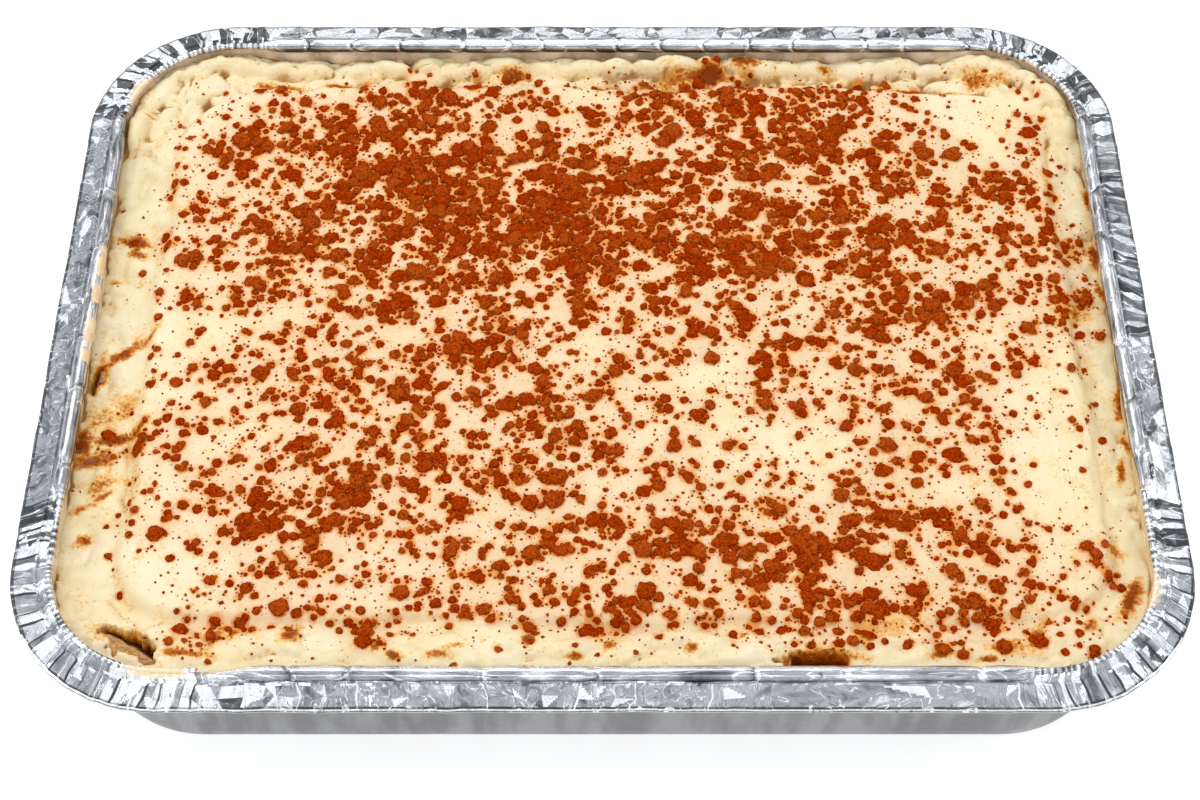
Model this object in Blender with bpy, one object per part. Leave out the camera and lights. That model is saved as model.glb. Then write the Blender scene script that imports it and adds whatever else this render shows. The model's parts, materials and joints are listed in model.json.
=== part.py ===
"""Tiramisu in a foil tray: a tray of one sheet of foil with a hemmed rim, a coffee-soaked sponge layer, and
the cream over it. Metres, +Z up. The origin is the middle of the tray's underside, and +X runs along its
long side."""

import math

import bmesh
import bpy

# The tray's driving dimensions.
TRAY_LENGTH = 0.322
TRAY_WIDTH = 0.249
TRAY_CORNER = 0.0443
RIM_EDGE_HEIGHT = 0.0448
FOIL = 0.0008
WALL_TOP_INSET = 0.0095
WALL_BOTTOM_INSET = 0.0148
WALL_TOP = 0.0452
WALL_CORNER = 0.0348
BASE_BEND = 0.003

# The rim: a band that rises from its outer edge, and a rolled bead along each straight side.
BAND_WIDTH = 0.0079
BAND_RISE = 0.0024
BEAD_TOP = 0.049
BEAD_INNER_INSET = 0.0123
RIDGE_TOP = 0.0480
HEM_THICKNESS = 0.0011
PLEATS_PER_CORNER = 12
PLEAT_HEIGHT = 0.00045
BEND_MIDDLE = 0.29

# Where the bead of each side starts and ends, along the way round: back, left, front, right.
BEAD_ENDS = ((0.114, -0.098), (0.077, -0.058), (-0.104, 0.113), (-0.055, 0.078))

# The food.
GAP = 0.0003
TEAR_GAP = 0.0005
SPONGE_TOP = 0.030
CREAM_EDGE_HEIGHT = 0.0393
SLAB_HEIGHT = 0.0425
SLAB_CENTRE = (0.003, 0.0033)
SLAB_HALF = (0.137, 0.1003)
SLAB_CORNER = 0.026
SLAB_SHOULDER = 0.007
# The cream's top is made of rings: each is its outer edge, drawn in to this share of its size.
CREAM_RINGS = (1, 0.965, 0.93, 0.9, 0.86, 0.8, 0.7, 0.58, 0.45, 0.32, 0.19, 0.08)

# Where the cream has torn and the sponge shows: its middle's x and y, half length, half width, turn, and the
# height of the sponge in it.
TEARS = {
    "corner": (-0.128, -0.102, 0.0082, 0.0034, math.radians(-28), 0.0388),
    "front": (0.057, -0.1080, 0.0105, 0.0026, 0.0, 0.0372),
    "left": (-0.1450, -0.0170, 0.0066, 0.0022, math.radians(90), 0.0376),
}

CORNER_SIGNS = ((1, 1), (-1, 1), (-1, -1), (1, -1))


def clear_scene():
    for old in list(bpy.data.objects):
        bpy.data.objects.remove(old, do_unlink=True)


def material(name, colour, roughness, metallic=0.0):
    made = bpy.data.materials.new(name)
    made.use_nodes = True
    shader = made.node_tree.nodes["Principled BSDF"]
    shader.inputs["Base Color"].default_value = (*colour, 1)
    shader.inputs["Roughness"].default_value = roughness
    shader.inputs["Metallic"].default_value = metallic
    return made


def object_from(name, shape, finish, smooth_angle=math.radians(35)):
    """A scene object from a bmesh, which is freed."""
    bmesh.ops.recalc_face_normals(shape, faces=shape.faces)
    mesh = bpy.data.meshes.new(name)
    shape.to_mesh(mesh)
    shape.free()
    mesh.shade_smooth()
    mesh.set_sharp_from_angle(angle=smooth_angle)
    made = bpy.data.objects.new(name, mesh)
    bpy.context.scene.collection.objects.link(made)
    mesh.materials.append(finish)
    return made


def corner_point(corner, turn, inset, radius):
    """A point on a rounded rectangle's corner, turn going from 0 to 1 round it."""
    side_x, side_y = CORNER_SIGNS[corner]
    angle = math.radians(90 * (corner + turn))
    centre_x = side_x * (TRAY_LENGTH / 2 - inset - radius)
    centre_y = side_y * (TRAY_WIDTH / 2 - inset - radius)
    return centre_x + radius * math.cos(angle), centre_y + radius * math.sin(angle)


def ring_point(station, inset, radius):
    """The point at a station of the rounded rectangle that lies inset from the tray's outer edge."""
    corner, turn, along = station
    x, y = corner_point(corner, turn, inset, radius)
    if along:
        next_x, next_y = corner_point((corner + 1) % 4, 0, inset, radius)
        x += (next_x - x) * along
        y += (next_y - y) * along
    return x, y


def stations(corner_steps, side_shares):
    """(corner, turn, share of the side after it) for each point round the tray."""
    found = []
    for corner in range(4):
        found += [(corner, step / corner_steps, 0) for step in range(corner_steps + 1)]
        found += [(corner, 1, share) for share in side_shares(corner)]
    return found


def bead_shares(corner):
    """The shares of a side at which its bead starts and ends."""
    half = (TRAY_LENGTH if corner % 2 == 0 else TRAY_WIDTH) / 2 - TRAY_CORNER
    return [(half - abs(end)) / (2 * half) if place == 0 else (half + abs(end)) / (2 * half)
            for place, end in enumerate(BEAD_ENDS[corner])]


def tray_side_shares(corner):
    """Stations on one side: the bead's two ends, each as a close pair, and the stretch between them."""
    start, end = bead_shares(corner)
    step = 0.004
    before = [start * 0.5, start - step] if start > 4 * step else [start - step]
    middle = [start + (end - start) * share for share in (0, 0.25, 0.5, 0.75, 1)]
    after = [end + step, (1 + end) * 0.5] if end < 1 - 4 * step else [end + step]
    return before + middle + after


def rim_crest(has_bead):
    """(inset, height) over the top of the wall: a half-round bead, or the narrow ridge between the pleats."""
    if not has_bead:
        return [(0.0106, RIDGE_TOP - 0.0014), (0.0105, RIDGE_TOP - 0.0006), (0.0100, RIDGE_TOP),
                (0.0092, RIDGE_TOP - 0.0001), (0.0088, RIDGE_TOP - 0.0005)]
    middle = (BAND_WIDTH + BEAD_INNER_INSET) / 2
    radius = (BEAD_INNER_INSET - BAND_WIDTH) / 2
    return [(middle + radius * math.cos(angle), BEAD_TOP - radius + radius * math.sin(angle))
            for angle in map(math.radians, (-25, 25, 75, 125, 165))]


def tray_section(has_bead, pleat):
    """(inset, height, corner radius) from the floor's inner edge, over the rim, to the underside's edge."""
    lift = pleat * PLEAT_HEIGHT
    lip = 0.5 * HEM_THICKNESS
    bend = BASE_BEND
    middle = BEND_MIDDLE * bend
    foot = WALL_BOTTOM_INSET + FOIL
    inner_corner = WALL_CORNER - FOIL
    crest = [(inset, height, TRAY_CORNER - inset) for inset, height in rim_crest(has_bead)]
    return [
        (foot + bend, FOIL, inner_corner - bend),
        (foot + middle, FOIL + middle, inner_corner - middle),
        (foot, FOIL + bend, inner_corner),
        (WALL_TOP_INSET + FOIL, WALL_TOP, inner_corner),
        *crest,
        (BAND_WIDTH, RIM_EDGE_HEIGHT + BAND_RISE, TRAY_CORNER - BAND_WIDTH),
        (0.5 * BAND_WIDTH, RIM_EDGE_HEIGHT + 0.55 * BAND_RISE + lift, TRAY_CORNER - 0.5 * BAND_WIDTH),
        (lip, RIM_EDGE_HEIGHT + lip + 0.6 * lift, TRAY_CORNER - lip),
        (0, RIM_EDGE_HEIGHT, TRAY_CORNER),
        (lip, RIM_EDGE_HEIGHT - lip, TRAY_CORNER - lip),
        (WALL_TOP_INSET - 1.5 * FOIL, WALL_TOP + 0.5 * FOIL, WALL_CORNER + 1.5 * FOIL),
        (WALL_TOP_INSET, WALL_TOP - FOIL, WALL_CORNER),
        (WALL_BOTTOM_INSET, bend, WALL_CORNER),
        (WALL_BOTTOM_INSET + middle, middle, WALL_CORNER - middle),
        (WALL_BOTTOM_INSET + bend, 0, WALL_CORNER - bend),
    ]


def loft(shape, rings):
    """Joins each ring of points to the next with faces, and returns the rings' vertices."""
    rows = [[shape.verts.new(point) for point in ring] for ring in rings]
    for low, high in zip(rows, rows[1:]):
        for i in range(len(low)):
            j = (i + 1) % len(low)
            shape.faces.new((low[i], low[j], high[j], high[i]))
    return rows


def close_ends(shape, rows):
    """Closes a loft with one flat face at each end."""
    shape.faces.new(rows[0])
    shape.faces.new(rows[-1])


def build_tray(finish):
    """The tray is one closed solid: its section goes once round, and flat faces close it."""
    columns = []
    for step, station in enumerate(stations(2 * PLEATS_PER_CORNER, tray_side_shares)):
        corner, _, along = station
        start, end = bead_shares(corner)
        has_bead = along > 0 and start <= along <= end
        pleat = 0 if has_bead else (-1) ** step
        columns.append([(*ring_point(station, inset, radius), height)
                        for inset, height, radius in tray_section(has_bead, pleat)])
    shape = bmesh.new()
    close_ends(shape, loft(shape, list(zip(*columns))))
    return object_from("foil_tray", shape, finish)


def food_inset(height):
    """How far in from the tray's outer edge the food's side lies at a height."""
    share = (WALL_TOP - height) / (WALL_TOP - BASE_BEND - FOIL)
    return WALL_TOP_INSET + (WALL_BOTTOM_INSET - WALL_TOP_INSET) * share + FOIL + GAP


def smooth_step(value):
    value = min(1.0, max(0.0, value))
    return value * value * (3 - 2 * value)


def slab_distance(x, y):
    """How far a point lies inside the edge of the flat slab in the middle of the cream."""
    across = abs(x - SLAB_CENTRE[0]) - SLAB_HALF[0] + SLAB_CORNER
    along = abs(y - SLAB_CENTRE[1]) - SLAB_HALF[1] + SLAB_CORNER
    outside = math.hypot(max(across, 0), max(along, 0)) + min(max(across, along), 0)
    return SLAB_CORNER - outside


def cream_height(x, y):
    """The cream's uneven top: a flat slab with round shoulders, and lumpy cream pressed up round it."""
    inside = smooth_step(slab_distance(x, y) / SLAB_SHOULDER + 0.5)
    lumps = math.sin(170 * x + 1.3) * math.sin(210 * y + 0.4) + 0.6 * math.sin(390 * x - 260 * y)
    swell = math.sin(31 * x + 0.5) * math.sin(37 * y + 1.1)
    edge = CREAM_EDGE_HEIGHT + 0.00045 * lumps
    slab = SLAB_HEIGHT + 0.0003 * swell
    return edge + (slab - edge) * inside


def tear_ring(tear, scale_length, scale_width, height, steps=20):
    """One level of an upright shape on a tear's outline, with its half length and half width changed."""
    x, y, half_length, half_width, turn, _ = tear
    ring = []
    for step in range(steps):
        angle = 2 * math.pi * step / steps
        along = scale_length(half_length) * math.cos(angle)
        across = scale_width(half_width) * math.sin(angle)
        ring.append((x + along * math.cos(turn) - across * math.sin(turn),
                     y + along * math.sin(turn) + across * math.cos(turn), height))
    return ring


def tear_cutter(tear):
    """An upright prism on a tear's outline, a little wider than the sponge that stands in it."""
    def wider(size):
        return size + TEAR_GAP

    shape = bmesh.new()
    levels = (SPONGE_TOP - 0.003, BEAD_TOP + 0.003)
    close_ends(shape, loft(shape, [tear_ring(tear, wider, wider, height) for height in levels]))
    return shape


def sponge_end(tear):
    """A rounded end of sponge, which stands up in a tear from inside the sponge layer."""
    root = SPONGE_TOP - 0.004
    top = tear[-1]
    rings = []
    for share in (0, 0.55, 0.8, 0.93, 0.99):
        def rounded(size, spread=math.sqrt(1 - share**4)):
            return size * spread

        rings.append(tear_ring(tear, rounded, rounded, root + (top - root) * share))
    shape = bmesh.new()
    close_ends(shape, loft(shape, rings))
    return shape


def boolean(target, tool, operation):
    """Joins or cuts target with tool, which is then a hidden helper."""
    tool.hide_render = True
    tool.display_type = "WIRE"
    step = target.modifiers.new(tool.name, "BOOLEAN")
    step.operation = operation
    step.object = tool


def food_side_shares(steps):
    return lambda corner: [step / steps for step in range(1, steps)]


def build_sponge(finish):
    """The coffee-soaked layer, which fills the tray's lower part and shows in each tear."""
    foot = WALL_BOTTOM_INSET + FOIL + GAP
    floor = FOIL + GAP
    corner = WALL_CORNER - FOIL
    middle = BEND_MIDDLE * BASE_BEND
    levels = [
        (foot + BASE_BEND, floor, corner - BASE_BEND),
        (foot + middle, floor + middle, corner - middle),
        (foot, floor + BASE_BEND, corner),
        (food_inset(SPONGE_TOP), SPONGE_TOP, corner),
    ]
    around = stations(8, food_side_shares(4))
    shape = bmesh.new()
    close_ends(shape, loft(shape, [[(*ring_point(s, inset, radius), height) for s in around]
                                   for inset, height, radius in levels]))
    sponge = object_from("sponge_layer", shape, finish)
    for name, tear in TEARS.items():
        boolean(sponge, object_from("sponge_end_" + name, sponge_end(tear), finish), "UNION")
    return sponge


def build_cream(finish):
    """The cream, from the sponge to its uneven top, with a tear wherever the sponge shows."""
    bottom = SPONGE_TOP + GAP
    corner = WALL_CORNER - FOIL
    around = stations(8, food_side_shares(11))
    edge = [ring_point(s, food_inset(CREAM_EDGE_HEIGHT), corner) for s in around]
    rings = [[(*ring_point(s, food_inset(bottom), corner), bottom) for s in around]]
    for share in CREAM_RINGS:
        rings.append([(x * share, y * share, cream_height(x * share, y * share)) for x, y in edge])
    shape = bmesh.new()
    rows = loft(shape, rings)
    shape.faces.new(rows[0])
    middle = shape.verts.new((0, 0, cream_height(0, 0)))
    last = rows[-1]
    for i, vertex in enumerate(last):
        shape.faces.new((vertex, last[(i + 1) % len(last)], middle))
    cream = object_from("cream_layer", shape, finish)
    for name, tear in TEARS.items():
        boolean(cream, object_from("tear_" + name, tear_cutter(tear), finish), "DIFFERENCE")
    return cream


def build():
    clear_scene()
    build_tray(material("foil", (0.78, 0.79, 0.80), 0.25, 1.0))
    build_sponge(material("soaked_sponge", (0.22, 0.10, 0.035), 0.6))
    build_cream(material("cream", (0.93, 0.80, 0.56), 0.45))


build()
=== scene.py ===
"""The looks of a tray of tiramisu: crumpled foil with hemmed beads and pleated corners, uneven cream, soaked
sponge where the cream has torn, and cocoa in cakes, clumps, crumbs and specks. Metres, +Z up."""

import json
import math
from collections import namedtuple

import bmesh
import bpy
import numpy as np
from mathutils import Matrix, Vector

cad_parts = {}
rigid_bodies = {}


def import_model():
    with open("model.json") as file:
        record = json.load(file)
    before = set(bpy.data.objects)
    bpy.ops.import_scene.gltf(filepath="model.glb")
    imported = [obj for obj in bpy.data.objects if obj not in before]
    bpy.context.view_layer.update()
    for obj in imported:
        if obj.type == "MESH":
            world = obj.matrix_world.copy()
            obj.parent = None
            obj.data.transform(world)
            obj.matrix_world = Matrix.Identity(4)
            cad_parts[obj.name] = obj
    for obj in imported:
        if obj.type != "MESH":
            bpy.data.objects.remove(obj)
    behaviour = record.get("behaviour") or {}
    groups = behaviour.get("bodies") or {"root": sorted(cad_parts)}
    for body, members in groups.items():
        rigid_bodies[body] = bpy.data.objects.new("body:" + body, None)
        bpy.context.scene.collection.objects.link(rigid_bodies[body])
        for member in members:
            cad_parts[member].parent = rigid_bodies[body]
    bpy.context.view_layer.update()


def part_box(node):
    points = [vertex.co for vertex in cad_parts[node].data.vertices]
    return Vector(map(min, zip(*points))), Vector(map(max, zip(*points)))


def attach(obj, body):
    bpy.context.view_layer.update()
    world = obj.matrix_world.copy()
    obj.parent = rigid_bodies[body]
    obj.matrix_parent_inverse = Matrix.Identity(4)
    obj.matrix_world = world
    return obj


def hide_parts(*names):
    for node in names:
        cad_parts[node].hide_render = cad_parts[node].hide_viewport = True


bl_info = {
    "name": "Tiramisu Tray",
    "version": (1, 0, 0),
    "blender": (4, 5, 0),
    "location": "View3D > Sidebar > Tiramisu",
    "description": "Builds a foil tray of tiramisu with a dusting of cocoa",
    "category": "Add Mesh",
}

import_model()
TRAY_LOW, TRAY_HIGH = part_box("foil_tray")
SPONGE_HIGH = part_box("sponge_layer")[1]
CREAM_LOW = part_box("cream_layer")[0]
MM = 0.001

# The way round a tray's rim: each corner's side of X and Y, in turn, with the straight side that follows it.
CORNER_X = np.array([1, -1, -1, 1])
CORNER_Y = np.array([1, 1, -1, -1])
BACK, LEFT, FRONT, RIGHT = range(4)


# ---------------------------------------------------------------- sizes and colours


class TRAY_PG_foil(bpy.types.PropertyGroup):
    """The foil tray's sizes and finish."""

    length: bpy.props.FloatProperty(
        name="Length", description="Outer length of the rim", default=TRAY_HIGH.x - TRAY_LOW.x, unit="LENGTH")
    width: bpy.props.FloatProperty(
        name="Width", description="Outer width of the rim", default=TRAY_HIGH.y - TRAY_LOW.y, unit="LENGTH")
    corner: bpy.props.FloatProperty(
        name="Corner", description="Corner radius of the rim", default=44.3 * MM, unit="LENGTH")
    wall_corner: bpy.props.FloatProperty(
        name="Wall corner", description="Corner radius of the wall", default=34.6 * MM, unit="LENGTH")
    rim_height: bpy.props.FloatProperty(
        name="Rim height", description="Height of the rim's outer edge", default=44.8 * MM, unit="LENGTH")
    wall_inset: bpy.props.FloatProperty(
        name="Wall inset", description="From the rim's edge to the wall's top", default=9.5 * MM,
        unit="LENGTH")
    foot_inset: bpy.props.FloatProperty(
        name="Foot inset", description="From the rim's edge to the wall's foot", default=14.8 * MM,
        unit="LENGTH")
    bend: bpy.props.FloatProperty(
        name="Base bend", description="Radius of the bend at the wall's foot", default=3 * MM, unit="LENGTH")
    bead_radius: bpy.props.FloatProperty(
        name="Bead radius", description="Radius of the rolled bead", default=2.3 * MM, unit="LENGTH")
    crease_spacing: bpy.props.FloatProperty(
        name="Mesh spacing", description="Mesh size along the rim", default=0.62 * MM, unit="LENGTH")
    colour: bpy.props.FloatVectorProperty(
        name="Foil", description="Colour of bare foil", default=(0.75, 0.765, 0.79), subtype="COLOR")
    # The outer wall's grey, far darker than the foil's own colour, is painted shade.
    wall_colour: bpy.props.FloatVectorProperty(
        name="Outer wall", description="Colour of the dull outer wall", default=(0.195, 0.195, 0.20),
        subtype="COLOR")


class TRAY_PG_food(bpy.types.PropertyGroup):
    """The cream's and sponge's sizes and colours."""

    edge_height: bpy.props.FloatProperty(
        name="Edge height", description="Usual height of the cream by the wall", default=39.6 * MM,
        unit="LENGTH")
    slab_height: bpy.props.FloatProperty(
        name="Slab height", description="Height of the flat middle", default=42.4 * MM, unit="LENGTH")
    shoulder: bpy.props.FloatProperty(
        name="Shoulder", description="Width of the step round the flat middle", default=4.5 * MM,
        unit="LENGTH")
    fine: bpy.props.FloatProperty(
        name="Fine mesh", description="Mesh size near the wall", default=0.62 * MM, unit="LENGTH")
    coarse: bpy.props.FloatProperty(
        name="Coarse mesh", description="Mesh size in the middle", default=1.15 * MM, unit="LENGTH")
    cream: bpy.props.FloatVectorProperty(
        name="Cream", description="Colour of clean cream", default=(0.85, 0.70, 0.42), subtype="COLOR")
    sponge: bpy.props.FloatVectorProperty(
        name="Sponge", description="Colour of soaked sponge", default=(0.88, 0.48, 0.17), subtype="COLOR")


class TRAY_PG_cocoa(bpy.types.PropertyGroup):
    """The cocoa's sizes and colour."""

    clump_radius: bpy.props.FloatProperty(
        name="Clump", description="Usual radius of a clump", default=1.25 * MM, unit="LENGTH")
    crumb_radius: bpy.props.FloatProperty(
        name="Crumb", description="Usual radius of a crumb", default=0.52 * MM, unit="LENGTH")
    speck_radius: bpy.props.FloatProperty(
        name="Speck", description="Usual radius of a speck", default=0.22 * MM, unit="LENGTH")
    seed: bpy.props.IntProperty(name="Seed", description="Where the cocoa falls", default=11, min=0)
    colour: bpy.props.FloatVectorProperty(
        name="Cocoa", description="Colour of damp cocoa", default=(0.40, 0.038, 0.001), subtype="COLOR")


class TRAY_PG_stage(bpy.types.PropertyGroup):
    """The stage, lights and camera."""

    floor: bpy.props.FloatVectorProperty(
        name="Floor", description="Colour of the floor", default=(0.42, 0.42, 0.42), subtype="COLOR")
    glow: bpy.props.FloatProperty(
        name="Floor glow", description="Light that the lit floor gives by itself", default=0.74, min=0)
    pitch: bpy.props.FloatProperty(
        name="Pitch", description="How far the camera looks down", default=math.radians(54.7),
        subtype="ANGLE")
    distance: bpy.props.FloatProperty(
        name="Distance", description="Camera to the rim's middle", default=631 * MM, unit="LENGTH")
    lens: bpy.props.FloatProperty(name="Lens", description="Focal length in millimetres", default=66.0)


# ---------------------------------------------------------------- noise and mesh helpers


def smooth_step(value):
    value = np.clip(value, 0, 1)
    return value * value * (3 - 2 * value)


def window(value, low, high, soft):
    """1 between low and high, and 0 beyond them, with soft edges."""
    return smooth_step((value - low) / soft + 0.5) * smooth_step((high - value) / soft + 0.5)


def lattice(x, y, seed):
    """The four random numbers round each point of a unit lattice, and where the point lies between them."""
    table = np.random.default_rng(seed).uniform(-1, 1, (61, 67))
    column = np.floor(x).astype(int)
    row = np.floor(y).astype(int)
    corners = [table[(column + i) % 61, (row + j) % 67] for i, j in ((0, 0), (1, 0), (0, 1), (1, 1))]
    return corners, x - column, y - row


def soft_noise(x, y, size, seed):
    """Smooth noise from -1 to 1, with lumps of about this size. Each use has a seed of its own."""
    (a, b, c, d), right, up = lattice(x / size + 0.37 * seed, y / size - 0.59 * seed, seed)
    right = smooth_step(right)
    up = smooth_step(up)
    return (a * (1 - right) + b * right) * (1 - up) + (c * (1 - right) + d * right) * up


def layered_noise(x, y, size, seed, layers=3, gain=0.5):
    """Soft noise with finer and fainter noise on top."""
    total = 0
    for layer in range(layers):
        turn = 0.9 * layer + 0.3
        across = x * math.cos(turn) - y * math.sin(turn)
        along = x * math.sin(turn) + y * math.cos(turn)
        total = total + gain**layer * soft_noise(across, along, size / 1.93**layer, seed + 7 * layer)
    return total


def facets(x, y, size, seed, stretch=1.0, turn=0.0):
    """Noise of flat facets with sharp creases between them, as in crumpled foil."""
    warp = 0.45 * size
    x, y = (x + warp * soft_noise(x, y, 1.7 * size, seed + 3),
            y + warp * soft_noise(x, y, 1.5 * size, seed + 4))
    across = (x * math.cos(turn) - y * math.sin(turn)) / size
    along = (x * math.sin(turn) + y * math.cos(turn)) / (size * stretch)
    (a, b, c, d), right, up = lattice(across, along, seed)
    low = a + (b - a) * right + (c - a) * up
    high = d + (c - d) * (1 - right) + (b - d) * (1 - up)
    return np.where(right + up < 1, low, high)


def folds(distance, pitch, length, seed, depth_spread=0.5, pitch_spread=0.4):
    """A zigzag along a distance: sharp folds of uneven pitch and depth, from -1 to 1."""
    rng = np.random.default_rng(seed)
    count = int(length / pitch * 2 * 1.1) + 4
    steps = 0.5 * pitch * (1 + pitch_spread * rng.uniform(-1, 1, count))
    knots = np.cumsum(steps) - 2 * pitch
    lifts = (1 - depth_spread * rng.uniform(0, 1, count)) * np.where(np.arange(count) % 2, 1, -1)
    return np.interp(distance, knots, lifts)


def mesh_object(name, points, faces, attributes=(), face_attributes=()):
    """An object of a mesh, from arrays of its points and its four-sided faces."""
    mesh = bpy.data.meshes.new(name)
    faces = np.asarray(faces, np.int32)
    mesh.vertices.add(len(points))
    mesh.vertices.foreach_set("co", np.asarray(points, np.float32).ravel())
    mesh.loops.add(faces.size)
    mesh.loops.foreach_set("vertex_index", faces.ravel())
    mesh.polygons.add(len(faces))
    mesh.polygons.foreach_set("loop_start", np.arange(len(faces), dtype=np.int32) * faces.shape[1])
    mesh.update(calc_edges=True)
    for domain, named in (("POINT", attributes), ("FACE", face_attributes)):
        for key, values in dict(named).items():
            attribute = mesh.attributes.new(key, "FLOAT", domain)
            attribute.data.foreach_set("value", np.asarray(values, np.float32).ravel())
    made = bpy.data.objects.new(name, mesh)
    bpy.context.scene.collection.objects.link(made)
    return made


def ring_faces(rows, columns):
    """The faces of a grid of points whose columns close into a ring."""
    row, column = np.meshgrid(np.arange(rows - 1), np.arange(columns), indexing="ij")
    after = (column + 1) % columns
    return np.stack([row * columns + column, row * columns + after, (row + 1) * columns + after,
                     (row + 1) * columns + column], axis=-1).reshape(-1, 4)


def strip_faces(rows, columns):
    """The faces of an open grid of points."""
    row, column = np.meshgrid(np.arange(rows - 1), np.arange(columns - 1), indexing="ij")
    first = row * columns + column
    return np.stack([first, first + 1, first + 1 + columns, first + columns], axis=-1).reshape(-1, 4)


def finish_mesh(made, material, angle=180):
    """Closes up a mesh, turns its faces outwards, shades it and gives it its material."""
    shape = bmesh.new()
    shape.from_mesh(made.data)
    bmesh.ops.remove_doubles(shape, verts=shape.verts, dist=1e-6)
    bmesh.ops.dissolve_degenerate(shape, dist=1e-7, edges=shape.edges)
    bmesh.ops.holes_fill(shape, edges=shape.edges, sides=0)
    bmesh.ops.recalc_face_normals(shape, faces=shape.faces)
    shape.to_mesh(made.data)
    shape.free()
    made.data.shade_smooth()
    if angle < 180:
        made.data.set_sharp_from_angle(angle=math.radians(angle))
    made.data.materials.clear()
    made.data.materials.append(material)


def hand_over(piece, slot, *nodes):
    """A finished piece rides on the tray and stands for its solids, which it hides; its material slot is not
    used.
    """
    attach(piece, "root")
    if nodes:
        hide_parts(*nodes)


# ---------------------------------------------------------------- materials


# The finishes' colours, besides those that the panel sets. Some are painted light: glints and crease shade on
# the foil, reflections of cream, shade in the cream's hollows and the cocoa's creases, and the cocoa's lit
# foot.
FOIL_GLINT = (0.97, 0.975, 0.99)
FOIL_CREASE_SHADE = (0.07, 0.073, 0.08)
PALE_FILM_AND_REFLECTION = (1.0, 0.88, 0.66)
TAN_FILM_AND_REFLECTION = (0.90, 0.56, 0.27)
SMEARED_CREAM = (0.88, 0.75, 0.47)
PALE_CREAM = (0.85, 0.725, 0.48)
YELLOW_CREAM = (0.83, 0.62, 0.31)
PEACH_CREAM = (0.79, 0.555, 0.33)
HOLLOW_SHADE_TAN = (0.84, 0.53, 0.16)
HOLLOW_SHADE_DARK = (0.32, 0.13, 0.02)
COCOA_DUST = (0.76, 0.25, 0.025)
WEAK_STAIN = (0.80, 0.42, 0.07)
STRONG_STAIN = (0.50, 0.125, 0.004)
DARK_STAIN = (0.25, 0.045, 0.0004)
PALE_SPONGE = (0.86, 0.50, 0.24)
SPONGE_PORE = (0.05, 0.018, 0.006)
SPONGE_SHADE = (0.03, 0.010, 0.003)
PALE_COCOA = (0.52, 0.105, 0.010)
COCOA_CREASE_SHADE = (0.13, 0.012, 0.001)
COCOA_LIT_DUSTY_SKIRT = (0.78, 0.26, 0.02)


class Wire:
    """One output of a shader node. Arithmetic on it adds Math nodes."""

    def __init__(self, recipe, socket):
        self.recipe = recipe
        self.socket = socket

    def maths(self, operation, first, second):
        return self.recipe.node("ShaderNodeMath", {"operation": operation}, {0: first, 1: second})

    def __add__(self, other):
        return self.maths("ADD", self, other)

    def __radd__(self, other):
        return self.maths("ADD", other, self)

    def __sub__(self, other):
        return self.maths("SUBTRACT", self, other)

    def __rsub__(self, other):
        return self.maths("SUBTRACT", other, self)

    def __mul__(self, other):
        return self.maths("MULTIPLY", self, other)

    def __rmul__(self, other):
        return self.maths("MULTIPLY", other, self)

    def __pow__(self, other):
        return self.maths("POWER", self, other)


class Recipe:
    """A material, and the ways to add nodes to it."""

    def __init__(self, name, **constants):
        self.material = bpy.data.materials.new(name)
        self.material.use_nodes = True
        self.tree = self.material.node_tree
        self.shader = self.tree.nodes["Principled BSDF"]
        for key, value in constants.items():
            self.shader.inputs[key.replace("_", " ")].default_value = value

    def node(self, kind, settings=(), inputs=(), output=0):
        """Adds a node: its settings first, then a value or a link for each named socket."""
        made = self.tree.nodes.new(kind)
        for key, value in dict(settings).items():
            setattr(made, key, value)
        for key, value in dict(inputs).items():
            if isinstance(value, Wire):
                self.tree.links.new(value.socket, made.inputs[key])
            else:
                made.inputs[key].default_value = value
        return Wire(self, made.outputs[output])

    def place(self):
        return self.node("ShaderNodeTexCoord", output="Object")

    def attribute(self, name):
        return self.node("ShaderNodeAttribute", {"attribute_name": name}, output="Fac")

    def stretched(self, vector, scale, turn=(0, 0, 0)):
        return self.node("ShaderNodeMapping", inputs={0: vector, "Scale": scale, "Rotation": turn})

    def noise(self, vector, size, detail=2.0, roughness=0.5, distortion=0.0):
        """Noise from 0 to 1 with lumps of about this size."""
        return self.node("ShaderNodeTexNoise", {"noise_dimensions": "3D"}, {
            "Vector": vector, "Scale": 1 / size, "Detail": detail, "Roughness": roughness,
            "Distortion": distortion})

    def cells(self, vector, size, feature="F1", randomness=1.0):
        """Distance within cells of about this size."""
        return self.node("ShaderNodeTexVoronoi", {"feature": feature}, {
            "Vector": vector, "Scale": 1 / size, "Randomness": randomness})

    def between(self, value, low, high, to_low=0.0, to_high=1.0):
        """Maps a range of a value onto another, and holds it there."""
        return self.node("ShaderNodeMapRange", {"interpolation_type": "SMOOTHSTEP"}, {
            0: value, 1: low, 2: high, 3: to_low, 4: to_high})

    def mix(self, share, first, second, blend="MIX"):
        """A colour between two colours."""
        colours = [(*c, 1) if isinstance(c, tuple) and len(c) == 3 else c for c in (first, second)]
        return self.node("ShaderNodeMix", {"data_type": "RGBA", "blend_type": blend, "clamp_factor": True},
                         {0: share, 6: colours[0], 7: colours[1]}, output=2)

    def bump(self, height, distance, strength=1.0, under=None):
        inputs = {"Height": height, "Distance": distance, "Strength": strength}
        if under is not None:
            inputs["Normal"] = under
        return self.node("ShaderNodeBump", inputs=inputs)

    def feed(self, **wires):
        for key, wire in wires.items():
            self.tree.links.new(wire.socket, self.shader.inputs[key.replace("_", " ")])
        return self.material


def scaled(colour, share):
    """A colour made darker or lighter."""
    return tuple(min(1, share * part) for part in colour)


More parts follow.
